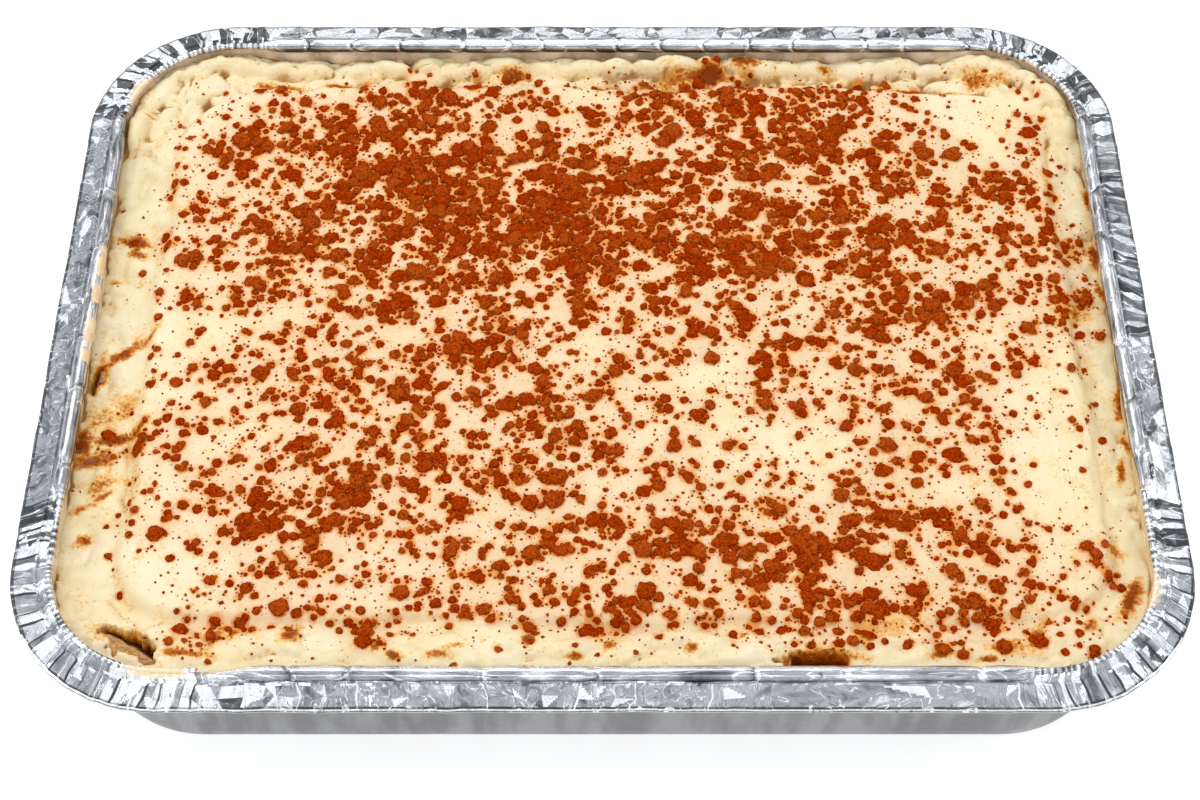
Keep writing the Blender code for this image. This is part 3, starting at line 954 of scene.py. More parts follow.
def build_beads(foil, material):
    """The rolled hem of each side: a thin part tube with pinches, which runs on round the next corner."""
    path = RimPath(foil)
    outer_turns = np.radians(np.linspace(-48, 196, BEAD_CUTS))
    turns = np.concatenate([outer_turns, outer_turns[::-1]])
    radii = np.repeat([foil.bead_radius, foil.bead_radius - BEAD_SKIN], BEAD_CUTS)
    all_points = []
    all_faces = []
    tones = []
    runs = []
    bands = []
    count = 0
    for side, bead in BEADS.items():
        start, end = bead_reach(path, side)
        far = bead_reach(path, (side + 1) % 4)[0] + (path.length if side == RIGHT else 0) - 2 * MM
        distance = np.linspace(start, far, int((far - start) / (0.6 * MM)))
        step = path.step_at(distance)
        out_x, out_y = path.outward(step)
        x, y = path.points(step, BEAD_INSET, path.corner - BEAD_INSET)
        rng = np.random.default_rng(70 + side)
        some = bead.pinches
        pinches = start + (end - start) * (np.arange(some) + rng.uniform(0.2, 0.8, some)) / some
        pinch = sum(np.exp(-((distance - at) / (width * MM)) ** 2) * depth for at, width, depth in
                    zip(pinches, rng.uniform(0.6, 1.6, some), rng.uniform(0.3, 1.0, some)))
        slants = rng.uniform(-1.6, 1.6, some) * MM
        thin = smooth_step((distance - end + 5 * MM) / (9 * MM))
        taper = smooth_step(1 - (distance - start) / (16 * MM)) + thin
        crimp = folds(distance, 2.0 * MM, path.length, 77, 0.7, 0.5)
        for turn, radius in zip(turns, radii):
            facing = 0.5 + 0.5 * math.sin(turn + 0.4)
            squash = 1 - bead.depth * pinch * facing - 0.58 * taper
            round_it = turn * 2.2 * MM + 0 * distance
            wave = 0.10 * MM * layered_noise(distance, turn * 3 * MM + 0 * distance, 14 * MM, 71 + side, 3)
            wave = wave + 0.10 * MM * facets(distance, round_it, 8 * MM, 74 + side)
            size = radius * squash + wave * (1 - 0.5 * thin) + 0.16 * MM * crimp * thin
            inward = size * math.cos(turn) + 0.7 * MM * thin
            sunk = BEAD_HEIGHT - 0.8 * MM * taper + 1.2 * MM * thin
            degrees = math.degrees(turn)
            # Painted light round the bead: a bright band of highlight along its top, lighter and darker bands
            # beside it, random facets of painted reflection, lighter pinches, and painted shade in the
            # pinched folds.
            highlight_stripe = 0.30 + 0.62 * bead.shine * window(degrees, 52, 92, 10)
            highlight_stripe = highlight_stripe + 0.22 * window(degrees, 112, 150, 10)
            highlight_stripe = highlight_stripe + 0.35 * window(degrees, 12, 30, 8) - 0.35 * window(degrees, -60, 6, 8)
            torn = facets(distance, round_it, 5 * MM, 79 + side)
            past = [distance - at - slant * math.sin(2 * turn) for at, slant in zip(pinches, slants)]
            fold = sum(np.exp(-(each / (0.35 * MM)) ** 2) - np.exp(-((each - 0.9 * MM) / (0.45 * MM)) ** 2)
                       for each in past)
            tone = highlight_stripe + 0.25 * torn + 0.6 * pinch * (0.3 + torn) - bead.fold * fold
            tones.append(tone + thin * (0.55 + 0.9 * crimp - highlight_stripe))
            all_points.append(np.stack([x - out_x * inward, y - out_y * inward, sunk + size * math.sin(turn)],
                                       axis=-1))
            runs.append(0.16 * distance)
            bands.append(0.8 * round_it)
        all_faces.append(tube_faces(count + np.arange(len(turns) * len(distance)).reshape(len(turns), -1)))
        count += len(turns) * len(distance)
    points = np.concatenate(all_points)
    marks = {"outer_wall": np.zeros(len(points)), "tone": np.clip(np.concatenate(tones), 0, 1),
             "along": np.concatenate(runs), "across": np.concatenate(bands), "smear_and_reflection": bead_smear(*points.T)}
    beads = mesh_object("foil_beads", points, np.concatenate(all_faces), marks)
    finish_mesh(beads, material, 50)
    hand_over(beads, "foil")
    return beads


# ---------------------------------------------------------------- the cream


# The flat slab in the middle of the cream: its middle, half sizes and corner.
SLAB_MIDDLE = (3 * MM, 1.9 * MM)
SLAB_HALF = (136 * MM, 98.1 * MM)
SLAB_CORNER = 24 * MM

# Tears in the cream, where sponge shows: x, y, half length, half width, turn in degrees.
TEARS = ((-127, -102.3, 9.8, 3.8, -31), (57, -108, 10, 2.2, 0), (-147.6, -13.5, 4.6, 1.7, 84))

# Coffee and cocoa stains on the cream: x, y, half length, half width, turn in degrees, strength.
STAINS = (
    (-147, -12, 7, 3, 80, 1.1), (-141, -5, 10, 2.2, 42, 1), (-134, 1, 7, 1.6, 55, 0.7),
    (-140, -35, 11, 2.6, 8, 1.15), (-144, -42, 8, 3.4, 20, 1.1), (-148.5, -38, 3.4, 6, 0, 1.25),
    (-133, -32, 6, 2.2, 50, 1), (-143, -26, 9, 7, 30, 0.55), (-141, -50, 10, 4, 30, 0.62),
    (-145, -58, 6, 1.8, 24, 0.85), (-140, -54, 5, 1.4, 40, 0.85), (-144, -68, 3.4, 2.4, 40, 0.9),
    (-134, -80, 3, 1.4, 30, 0.6), (-143, 38, 9, 2.6, -8, 1.1), (-141, 33, 5, 2, -20, 0.9),
    (-147, 22, 3, 1.6, 0, 0.8), (33, 105, 13, 3.4, 4, 1.15), (46, 110, 6, 2.6, 0, 1),
    (117, -100, 7, 2.6, 60, 0.85), (108, -103.5, 8, 2.4, 5, 0.8), (143.5, -88, 8, 3.4, 60, 1.05),
    (141, -72, 6, 2.6, -30, 0.8), (150, -24, 7, 2.4, 82, 1.1), (149.9, 33, 7, 2.6, 84, 1.05),
    (149.8, 54, 6, 1.9, 94, 1), (149.6, 19, 5, 1.8, 97, 1), (149.4, -37, 5, 1.8, 98, 1),
    (57, -106.5, 14, 2.6, 0, 1), (-128, -102, 11, 4.5, -28, 0.72), (-104, -101, 7, 2, 62, 0.8),
    (-84, -100, 6, 2.6, 30, 0.95), (72, 107.5, 4, 2.2, 0, 0.95), (-28, 107, 6, 2.4, 5, 0.8),
    (92, -106, 6, 2, 0, 1), (122, 103, 9, 3.6, -5, 0.72), (-104, 101.5, 10, 2, -12, 0.9),
    (-84, 101, 8, 1.6, 0, 0.9), (62, 101, 14, 1.4, 0, 0.95), (104, 99, 16, 1.5, -4, 0.95),
    (76, -97, 10, 4, 10, 0.55), (-112, -106, 9, 1.6, -6, 0.85), (-44, -106, 6, 1.6, 0, 0.7),
    (138, 62, 2.4, 7, 0, 0.45), (-99, -99, 3.4, 1.8, 60, 1), (-61, -103, 3, 1.8, 70, 1),
    (-56, -106, 2.6, 1.4, -30, 1), (-39, -103.5, 2.6, 1.6, 10, 0.95), (-20, -101, 2.6, 2, 60, 1),
    (-7, -106.5, 3, 1.4, 0, 0.95), (2, -102.5, 2.8, 1.6, 40, 0.95), (24, -104, 3, 1.8, 20, 1),
    (38, -100, 2.4, 1.6, 0, 0.9), (102, -107.5, 5, 1.4, 0, 0.95), (131, -97, 5, 2, 50, 0.95),
    (137, 8, 5, 4, 30, 0.55), (140, 10, 6, 4, 40, 0.55), (147, -46, 5, 1.4, 80, 0.9),
)

# Creases that a film has left in the cream: from x, y to x, y, how far it bows, and its height.
FILM_CREASES = (
    (-74, -95, -18, -95, -1.5, 0.35), (-132, 10, -118, -22, 5, 0.28), (-136, 48, -128, 20, 3, 0.26),
    (128, 92, 137, 40, -4, 0.3), (133, -8, 139, -66, 3, 0.34), (126, -20, 131, -70, 2, 0.22),
    (-122, -52, -100, -40, 4, 0.22), (-14, 60, 14, 52, 3, 0.14), (60, -60, 96, -70, -4, 0.16),
    (-116, -84, -96, -92, 3, 0.3), (-60, -88, -30, -86, 2, 0.2), (118, -70, 128, -90, 4, 0.26),
    (-134, -40, -126, -60, -3, 0.26), (20, -30, 60, -26, 5, 0.12), (-100, 60, -70, 70, 4, 0.13),
    (-134, 82, -120, 98, 5, 0.32), (30, 98, 70, 99, 1.5, 0.22), (-60, 97, -20, 98, -2, 0.22),
)


def box_depth(x, y, half_x, half_y, corner):
    """How far inside a rounded rectangle a place lies."""
    across = np.abs(x) - half_x + corner
    along = np.abs(y) - half_y + corner
    outside = np.hypot(np.maximum(across, 0), np.maximum(along, 0)) + np.minimum(np.maximum(across, along), 0)
    return corner - outside


def slab_share(food, x, y):
    """1 on the flat slab and 0 on the cream pressed up round it."""
    sway_x = 2.2 * MM * soft_noise(x, y, 24 * MM, 81)
    sway_y = 2.0 * MM * soft_noise(x, y, 21 * MM, 82)
    inside = box_depth(x - SLAB_MIDDLE[0] + sway_x, y - SLAB_MIDDLE[1] + sway_y, *SLAB_HALF, SLAB_CORNER)
    return smooth_step(inside / food.shoulder + 0.5)


def patch_reach(x, y, patch):
    """How far out of an oval patch a place lies: 1 on its outline."""
    middle_x, middle_y, half_length, half_width, turn = patch[:5]
    turn = math.radians(turn)
    right = (x / MM - middle_x) * math.cos(turn) + (y / MM - middle_y) * math.sin(turn)
    up = (y / MM - middle_y) * math.cos(turn) - (x / MM - middle_x) * math.sin(turn)
    return np.hypot(right / half_length, up / half_width)


def cream_outline(foil, food):
    """Half length, half width and corner radius of the cream's edge, just inside the foil's skin."""
    inset = wall_inset_at(foil, food.edge_height) + 0.15 * MM
    return foil.length / 2 - inset, foil.width / 2 - inset, foil.wall_corner - 0.2 * MM


def wall_lean(foil, food, x, y, height):
    """How deep inside the cream's outline places lie, the way in, and how far the wall leans in there."""
    outline = cream_outline(foil, food)
    small = 0.05 * MM
    in_x = (box_depth(x + small, y, *outline) - box_depth(x - small, y, *outline)) / (2 * small)
    in_y = (box_depth(x, y + small, *outline) - box_depth(x, y - small, *outline)) / (2 * small)
    lean = wall_inset_at(foil, height) - wall_inset_at(foil, food.edge_height)
    return box_depth(x, y, *outline), in_x, in_y, lean


def side_lobes(rng, path):
    """Lobes all round the slab, rougher at the back."""
    lobes = []
    for distance in np.arange(0, path.length, 2.2 * MM):
        step = path.step_at(np.array([distance + rng.uniform(-2, 2) * MM]))
        inset = rng.uniform(11, 26) * MM
        x, y = path.points(step, inset, max(path.corner - inset, 8 * MM))
        out_x, out_y = path.outward(step)
        turn = math.atan2(out_x[0], -out_y[0]) + rng.normal(0, 0.45)
        rough = float(smooth_step((y[0] - 55 * MM) / (40 * MM)))
        lobes.append((x[0] / MM, y[0] / MM, rng.uniform(4, 9.5), rng.uniform(2.2, 4.6), math.degrees(turn),
                      rng.uniform(0.9, 1.9) + 2.2 * rough * rng.uniform(0.5, 1)))
    return lobes


def back_lobes(rng):
    """A row of high lobes along the back wall, highest in the middle."""
    lobes = []
    for x in np.arange(-110, 122, 9.0):
        lobes.append((x + rng.uniform(-4, 4), 109.4 + rng.uniform(-1.6, 1.4), rng.uniform(6.0, 10.5),
                      rng.uniform(3.4, 4.8), rng.uniform(-16, 16),
                      rng.uniform(4.6, 6.4) + 1.9 * float(window(x, 4, 60, 12))))
    return lobes


def corner_lobes(rng, path):
    """High lobes that carry the back row on round both back corners."""
    lobes = []
    for share in np.concatenate([np.arange(0.04, 1.0, 0.105), np.arange(0.10, 1.0, 0.2)]):
        for start in (0, 2):
            x, y = path.points(np.array([start + share]), 14.5 * MM, path.corner - 14.5 * MM)
            out_x, out_y = path.outward(np.array([start + share]))
            turn = math.degrees(math.atan2(out_x[0], -out_y[0])) + rng.normal(0, 14)
            if y[0] > 60 * MM:
                lobes.append((x[0] / MM, y[0] / MM, rng.uniform(5, 8.5), rng.uniform(3, 4.6), turn,
                              rng.uniform(3.8, 5.6)))
    return lobes


def small_lobes(rng, path):
    """Small lumps between the slab and the back row, and close to the wall all round."""
    lobes = []
    for _ in range(110):
        size = rng.uniform(1.6, 4.6)
        lobes.append((rng.uniform(-134, 136), rng.uniform(100.0, 105.5), size, size * rng.uniform(0.4, 0.7),
                      rng.uniform(-30, 30), rng.uniform(1.0, 2.8)))
    for _ in range(200):
        step = path.step_at(np.array([rng.uniform(0, path.length)]))
        inset = rng.uniform(11, 16) * MM
        x, y = path.points(step, inset, path.corner - inset)
        size = rng.uniform(1.6, 3.8)
        rough = float(smooth_step((y[0] - 55 * MM) / (40 * MM)))
        lobes.append((x[0] / MM, y[0] / MM, size, size * rng.uniform(0.6, 1), rng.uniform(0, 180),
                      rng.uniform(1.2, 2.4) + 0.8 * rough))
    return lobes


def tear_lobes(rng):
    """Crumbs of cream round the tear at the corner."""
    lobes = []
    middle_x, middle_y, half_length, half_width, turn = TEARS[0]
    for around in rng.uniform(150, 390, 34):
        reach = rng.uniform(1.3, 2.1)
        along = half_length * reach * math.cos(math.radians(around)) * 0.8
        across = half_width * reach * math.sin(math.radians(around)) * 1.2
        size = rng.uniform(0.7, 1.9)
        lobes.append((middle_x + along * math.cos(math.radians(turn)) - across * math.sin(math.radians(turn)),
                      middle_y + along * math.sin(math.radians(turn)) + across * math.cos(math.radians(turn)),
                      size, size * rng.uniform(0.5, 0.9), rng.uniform(0, 180), rng.uniform(0.9, 2.0)))
    return lobes


def lobe_list(foil):
    """The lobes of cream beside the slab: place, half sizes, turn and height, in millimetres and degrees."""
    rng = np.random.default_rng(91)
    path = RimPath(foil)
    return [*side_lobes(rng, path), *back_lobes(rng), *corner_lobes(rng, path), *small_lobes(rng, path),
            *tear_lobes(rng)]


def crease_height(x, y):
    """The low sharp folds that a film has left in the cream."""
    total = 0
    for from_x, from_y, to_x, to_y, bow, height in FILM_CREASES:
        length = math.hypot(to_x - from_x, to_y - from_y)
        unit_x = (to_x - from_x) / length
        unit_y = (to_y - from_y) / length
        along = ((x / MM - from_x) * unit_x + (y / MM - from_y) * unit_y) / length
        across = (y / MM - from_y) * unit_x - (x / MM - from_x) * unit_y
        across = across - bow * 4 * along * (1 - along) - 0.5 * soft_noise(x, y, 7 * MM, 95)
        ends = window(along, 0.04, 0.96, 0.2)
        total = total + height * ends * (np.exp(-(across / 0.55) ** 2)
                                         - 0.5 * np.exp(-((across - 1.3) / 0.9) ** 2))
    return total * MM


def tear_depth(x, y):
    """1 in the middle of a tear and 0 outside it."""
    ragged = 0.46 * soft_noise(x, y, 3.2 * MM, 97) + 0.26 * soft_noise(x, y, 1.3 * MM, 98)
    depth = 0
    for tear in TEARS:
        depth = np.maximum(depth, smooth_step((1.02 + ragged - patch_reach(x, y, tear)) / 0.30))
    return depth


def cream_top(food, x, y, lobes):
    """The height of the cream, and how torn it is."""
    share = slab_share(food, x, y)
    near_back = smooth_step((y - 60 * MM) / (50 * MM))
    near_front = smooth_step((-y - 90 * MM) / (12 * MM))
    corner = smooth_step((np.abs(x) + y - 215 * MM) / (16 * MM))
    base = food.edge_height - MM * (1.0 - 2.5 * near_front + 0.5 * near_back - 2.6 * corner)
    base = base + 0.55 * MM * layered_noise(x, y, 17 * MM, 83, 3)
    swell = 0.45 * MM * layered_noise(x, y, 38 * MM, 84, 2) + 0.20 * MM * layered_noise(x, y, 9 * MM, 85, 3)
    slab = food.slab_height + swell + 0.07 * MM * layered_noise(x, y, 2.6 * MM, 86, 2)
    height = base + (slab - base) * share
    lift = np.zeros_like(x)
    for lobe in lobes:
        near = (np.abs(x / MM - lobe[0]) < lobe[2] + 1) & (np.abs(y / MM - lobe[1]) < lobe[2] + 1)
        if near.any():
            reach = patch_reach(x[near], y[near], lobe)
            dome = lobe[5] * np.sqrt(np.clip(1 - reach**2, 0, 1)) * np.minimum(1, 1.3 - 0.3 * reach)
            lift[near] = np.maximum(lift[near], dome)
    lift = lift * (1 - 0.85 * share)
    height = height + lift * MM + crease_height(x, y)
    height = height + 0.16 * MM * layered_noise(x, y, 3.4 * MM, 87, 2) * (1 - share)
    crack = soft_noise(x, y, 6.5 * MM, 89) + 0.35 * soft_noise(x, y, 2.4 * MM, 90)
    rugged = (1 - share) * (0.25 + 0.75 * smooth_step((y - 50 * MM) / (45 * MM)))
    height = height + MM * rugged * (0.30 * facets(x, y, 4.2 * MM, 92) - 0.95 * np.exp(-(crack / 0.10) ** 2))
    torn = tear_depth(x, y)
    height = height + torn * (SPONGE_HIGH.z - 5.5 * MM - height)
    return height, torn


class Chart:
    """A grid of values over the cream, read between its points."""

    def __init__(self, half_x, half_y, cell):
        self.cell = cell
        self.columns = int(2 * half_x / cell) + 3
        self.rows = int(2 * half_y / cell) + 3
        self.left = -0.5 * (self.columns - 1) * cell
        self.low = -0.5 * (self.rows - 1) * cell

    def places(self):
        return np.meshgrid(self.left + self.cell * np.arange(self.columns),
                           self.low + self.cell * np.arange(self.rows))

    def load(self, x, y, weight):
        """Adds up weights at places, each in the cell it falls in."""
        field = np.zeros((self.rows, self.columns))
        column = np.clip(np.round((x - self.left) / self.cell).astype(int), 0, self.columns - 1)
        row = np.clip(np.round((y - self.low) / self.cell).astype(int), 0, self.rows - 1)
        np.add.at(field, (row, column), weight)
        return field

    def read(self, field, x, y):
        across = np.clip((x - self.left) / self.cell, 0, self.columns - 1.001)
        along = np.clip((y - self.low) / self.cell, 0, self.rows - 1.001)
        left = across.astype(int)
        low = along.astype(int)
        right = across - left
        up = along - low
        return (field[low, left] * (1 - right) * (1 - up) + field[low, left + 1] * right * (1 - up)
                + field[low + 1, left] * (1 - right) * up + field[low + 1, left + 1] * right * up)


def hollow_amount(foil, food, x, y, lobes):
    """How far each place on the cream is shut in by higher cream round it, from 0 to 1."""
    half_x, half_y, _ = cream_outline(foil, food)
    chart = Chart(half_x, half_y, 0.6 * MM)
    height = cream_top(food, *chart.places(), lobes)[0]
    shut = np.zeros_like(height)
    for i, j in ((1, 0), (1, 1), (0, 1), (-1, 1), (-1, 0), (-1, -1), (0, -1), (1, -1)):
        rise = np.zeros_like(height)
        for reach in (1, 2, 4, 8):
            away = reach * math.hypot(i, j) * chart.cell
            rise = np.maximum(rise, (np.roll(height, (j * reach, i * reach), (0, 1)) - height) / away)
        shut += (rise / np.hypot(1, rise)) ** 2 / 8
    return chart.read(shut, x, y)


def graded(half, margin, fine, coarse):
    """Places along an axis, from -half to half, closer together near both ends."""
    sample = np.linspace(-half, half, 4001)
    spacing = fine + (coarse - fine) * smooth_step((half - np.abs(sample) - margin) / (12 * MM))
    count = np.concatenate([[0], np.cumsum(np.diff(sample) / spacing[1:])])
    return np.interp(np.linspace(0, count[-1], int(round(count[-1])) + 1), count, sample)


def stain_amount(x, y):
    """Coffee and wet cocoa soaked into the cream."""
    blur = 0.30 * layered_noise(x, y, 3.6 * MM, 88, 3)
    amount = 0
    for stain in STAINS:
        amount = np.maximum(amount, stain[5] * np.clip(1.15 - patch_reach(x, y, stain) + blur, 0, 1))
    return amount


def build_cream(foil, food, material, falls):
    """The cream: its uneven top, closed below, where it meets the sponge and the foil."""
    half_x, half_y, corner = cream_outline(foil, food)
    across = graded(half_x, 24 * MM, food.fine, food.coarse)
    along = graded(half_y, 24 * MM, food.fine, food.coarse)
    x, y = (axis.ravel() for axis in np.meshgrid(across, along))
    depth = box_depth(x, y, half_x, half_y, corner)
    outside = depth < 0
    middle_x = np.sign(x) * (half_x - corner)
    middle_y = np.sign(y) * (half_y - corner)
    reach = np.hypot(x - middle_x, y - middle_y)
    x = np.where(outside, middle_x + (x - middle_x) * corner / np.maximum(reach, 1e-9), x)
    y = np.where(outside, middle_y + (y - middle_y) * corner / np.maximum(reach, 1e-9), y)
    faces = strip_faces(len(along), len(across))
    faces = faces[~outside[faces].all(axis=1)]
    kept, faces = np.unique(faces, return_inverse=True)
    faces = faces.reshape(-1, 4)
    x, y = x[kept], y[kept]
    lobes = lobe_list(foil)
    z, torn = cream_top(food, x, y, lobes)
    hollow = hollow_amount(foil, food, x, y, lobes)
    # Painted shade in the cream's colour: where higher cream shuts it in, a band by the wall, and a dark
    # shadow line along the side walls.
    edge = smooth_step((3.5 * MM - box_depth(x, y, half_x, half_y, corner)) / (3.5 * MM))
    damp = smooth_step((2.0 * MM - box_depth(x, y, half_x, half_y, corner)) / (1.6 * MM))
    patchy = np.clip(0.55 + 1.3 * soft_noise(x, y, 17 * MM, 93), 0, 1)
    damp = damp * smooth_step((np.abs(x) - 140 * MM) / (4 * MM)) * patchy
    halo, dust = halo_amount(x, y, falls)
    marks = {"halo": halo, "dust": dust, "stain": np.maximum(stain_amount(x, y), torn * 1.15),
             "deep": np.clip(3.0 * hollow + 0.2 * edge + damp, 0, 1.5)}
    depth, in_x, in_y, lean = wall_lean(foil, food, x, y, z)
    shift = np.maximum(lean, 0) * (1 - smooth_step(depth / (3 * MM)))
    cream = mesh_object("cream", np.stack([x + in_x * shift, y + in_y * shift, z], axis=-1), faces, marks)
    close_below(cream.data, CREAM_LOW.z)
    finish_mesh(cream, material)
    hand_over(cream, "cream", "cream_layer")
    return cream


def close_below(mesh, floor):
    """Draws an open sheet's edge down to a level, and closes it there with one flat face."""
    shape = bmesh.new()
    shape.from_mesh(mesh)
    bmesh.ops.remove_doubles(shape, verts=shape.verts, dist=2e-5)
    edges = [edge for edge in shape.edges if edge.is_boundary]
    made = bmesh.ops.extrude_edge_only(shape, edges=edges)["geom"]
    lower = [part for part in made if isinstance(part, bmesh.types.BMVert)]
    for vertex in lower:
        vertex.co.x *= 0.9885
        vertex.co.y *= 0.9850
        vertex.co.z = floor
    bmesh.ops.holes_fill(shape, edges=[edge for edge in shape.edges if edge.is_boundary], sides=0)
    shape.to_mesh(mesh)
    shape.free()


# ---------------------------------------------------------------- the sponge


def build_sponge(foil, food, material):
    """The soaked sponge: a plain layer below, and fibrous lumps that stand up in the tears."""
    path = RimPath(foil)
    step = np.linspace(0, 8, 161)[:-1]
    inner = foil.wall_corner - 0.6 * MM
    rows = []
    for height, deeper in ((0.7 * MM, foil.bend), (0.7 * MM + foil.bend, 0.6 * MM),
                           (CREAM_LOW.z - 0.4 * MM, 0.6 * MM)):
        inset = wall_inset_at(foil, max(height, foil.bend)) + deeper
        x, y = path.points(step, inset, inner - deeper)
        rows.append(np.stack([x, y, np.full_like(x, height)], axis=-1))
    points = [np.concatenate(rows)]
    faces = [ring_faces(3, len(step))]
    shades = [np.ones(len(points[0]))]
    for index, tear in enumerate(TEARS):
        lump_points, lump_faces, lump_shade = sponge_lump(foil, food, tear, index)
        shades.append(lump_shade)
        faces.append(lump_faces + sum(len(part) for part in points))
        points.append(lump_points)
    sponge = mesh_object("sponge", np.concatenate(points), np.concatenate(faces),
                         {"shade": np.concatenate(shades)})
    finish_mesh(sponge, material)
    hand_over(sponge, "soaked_sponge", "sponge_layer")
    return sponge


# How far over its usual level the sponge stands in each tear, and how far its top falls away, in millimetres.
LUMP_TOPS = (3.4, 0.3, 0.3)
LUMP_FALLS = (3.6, 1.4, 1.4)


def sponge_lump(foil, food, tear, index):
    """A rough rounded end of sponge in a tear."""
    middle_x, middle_y, half_length, half_width, turn = tear
    turn = math.radians(turn)
    rings = 22
    columns = 72
    rise, around = np.meshgrid(np.linspace(0.02, 1, rings), np.arange(columns) / columns * 2 * math.pi,
                               indexing="ij")
    spread = np.sin(rise * math.pi / 2) * 1.15
    along = half_length * spread * np.cos(around)
    across = half_width * spread * np.sin(around) - 0.45 * half_width
    x = MM * (middle_x + along * math.cos(turn) - across * math.sin(turn))
    y = MM * (middle_y + along * math.sin(turn) + across * math.cos(turn))
    top = SPONGE_HIGH.z + LUMP_TOPS[index] * MM
    low = CREAM_LOW.z - 1.5 * MM
    z = low + (top - low) * (1 - rise**5)
    rough = 0.8 * MM * layered_noise(x + 0.05 * index, y, 2.6 * MM, 101 + index, 4, 0.6)
    rough = rough + 0.45 * MM * facets(0.35 * along * MM, across * MM, 1.1 * MM, 105 + index)
    upper = smooth_step(across / half_width + 0.5)
    z = z + rough * (1 - rise**3) - LUMP_FALLS[index] * MM * upper * (1 - rise**5)
    depth, in_x, in_y, lean = wall_lean(foil, food, x, y, z)
    shift = np.maximum(lean + 0.35 * MM - depth, 0)
    points = np.stack([x + in_x * shift, y + in_y * shift, z], axis=-1).reshape(-1, 3)
    return points, ring_faces(rings, columns), (upper + 0 * x).ravel()


# ---------------------------------------------------------------- the cocoa


# Drifts of cocoa and thin places between them: x, y, half length, half width, turn in degrees, weight.
DRIFTS = (
    (-88, 74, 28, 11, 5, 0.95), (-52, 74, 22, 12, -12, 0.62), (-66, 54, 22, 12, 0, 0.8),
    (-28, 42, 24, 13, -15, 0.75), (-92, 36, 16, 10, 10, 0.6), (-8, 38, 18, 10, -8, 0.72),
    (-8, 60, 28, 12, -8, 0.45), (24, 62, 26, 12, 10, 0.5), (42, 92, 30, 9, 0, 0.6),
    (62, 76, 24, 10, -10, 0.62), (40, 38, 26, 12, 0, 0.7), (78, 38, 18, 12, 10, 0.62),
    (108, 24, 16, 10, 10, 0.18), (100, 60, 20, 10, -20, 0.25), (-60, 20, 30, 11, 0, 0.5),
    (8, 22, 30, 10, 0, 0.34), (-46, -10, 20, 12, 15, 0.42), (-84, -18, 20, 12, 10, 0.3),
    (4, -26, 14, 12, 0, 0.4), (-22, -44, 20, 10, 10, 0.38), (-70, -36, 22, 10, 0, 0.42),
    (-72, -54, 24, 12, -8, 0.34), (-28, -66, 20, 10, 0, 0.42), (16, -66, 20, 10, 0, 0.34),
    (52, -76, 18, 12, 15, 0.4), (70, -68, 14, 10, 20, 0.62), (84, -50, 14, 10, -10, 0.34),
    (60, -88, 26, 8, 0, 0.36), (14, -94, 24, 6, 0, 0.34), (-92, -66, 12, 12, 0, 0.3),
    (-60, -84, 26, 8, 0, 0.26), (84, -92, 24, 8, 0, 0.3), (88, 8, 26, 10, 15, 0.38),
    (124, 50, 12, 10, 0, 0.2), (146, 40, 8, 20, 0, 0.3), (-112, 44, 12, 14, 0, 0.25),
    (-20, 4, 16, 8, -10, 0.2), (-48, 96, 16, 6, 0, 0.45), (36, 105, 14, 5, 4, 0.5),
    (-141, -36, 8, 6, 20, 0.45), (104, -68, 12, 8, 0, 0.25), (50, -36, 20, 9, -5, -0.42),
    (2, 2, 14, 8, 0, -0.25), (-130, 4, 14, 14, 0, -0.5), (126, -46, 12, 26, 0, -0.6),
    (122, 96, 24, 12, 0, -0.4), (-122, 98, 22, 12, 0, -0.45), (-126, 76, 10, 12, 0, -0.4),
    (-122, -60, 10, 30, 0, -0.25), (-60, -104, 30, 8, 0, -0.3), (9, 97, 9, 6, 0, 0.45),
    (-96, 78, 12, 8, 0, 0.32), (-56, 76, 8, 8, 0, -0.35), (-8, 76, 9, 8, 0, 0.32), (122, 76, 9, 9, 0, -0.4),
    (-111, 56, 14, 9, 0, -0.4), (20, 56, 14, 8, 0, -0.35), (91, 56, 9, 9, 0, 0.35), (-62, 37, 14, 9, 0, 0.32),
    (89, 37, 9, 9, 0, 0.28), (-99, 18, 8, 9, 0, 0.55), (18, 18, 14, 8, 0, 0.25), (-18, 18, 9, 8, 0, -0.2),
    (-110, 0, 9, 8, 0, -0.4), (-50, 0, 8, 8, 0, -0.28), (-126, -17, 8, 8, 0, -0.35),
    (-16, -17, 9, 8, 0, 0.28), (46, -17, 12, 8, 0, 0.32), (-95, -34, 8, 9, 0, -0.55),
    (15, -34, 14, 8, 0, -0.38), (84, -34, 8, 8, 0, 0.38), (86, -51, 14, 8, 0, -0.5),
    (-65, -51, 8, 8, 0, 0.32), (-21, -67, 8, 8, 0, -0.5), (-48, -82, 8, 7, 0, -0.32),
    (76, -82, 13, 8, 0, -0.42), (9, -82, 8, 7, 0, 0.28), (22, -99, 8, 6, 0, -0.55),
    (-89, -98, 8, 6, 0, -0.35), (-61, -98, 7, 6, 0, 0.28), (-130, -86, 12, 12, 0, -0.7),
    (-20, -99, 8, 6, 0, -0.28),
)


# Cocoa that has fallen beside the slab, given in the same way.
EDGE_DRIFTS = (
    (-142, 38, 9, 3, -10, 0.6), (-138, -36, 6, 4, 30, 0.45), (144, 36, 6, 7, 0, 0.6), (145, 18, 5, 9, 0, 0.6),
    (144, 2, 5, 4, 0, 0.4), (38, 107, 12, 2.6, 0, 0.35), (-30, 105, 7, 2, 0, 0.3), (57, -104, 14, 3, 0, 0.4),
    (141, -84, 5, 3, 60, 0.35),
)


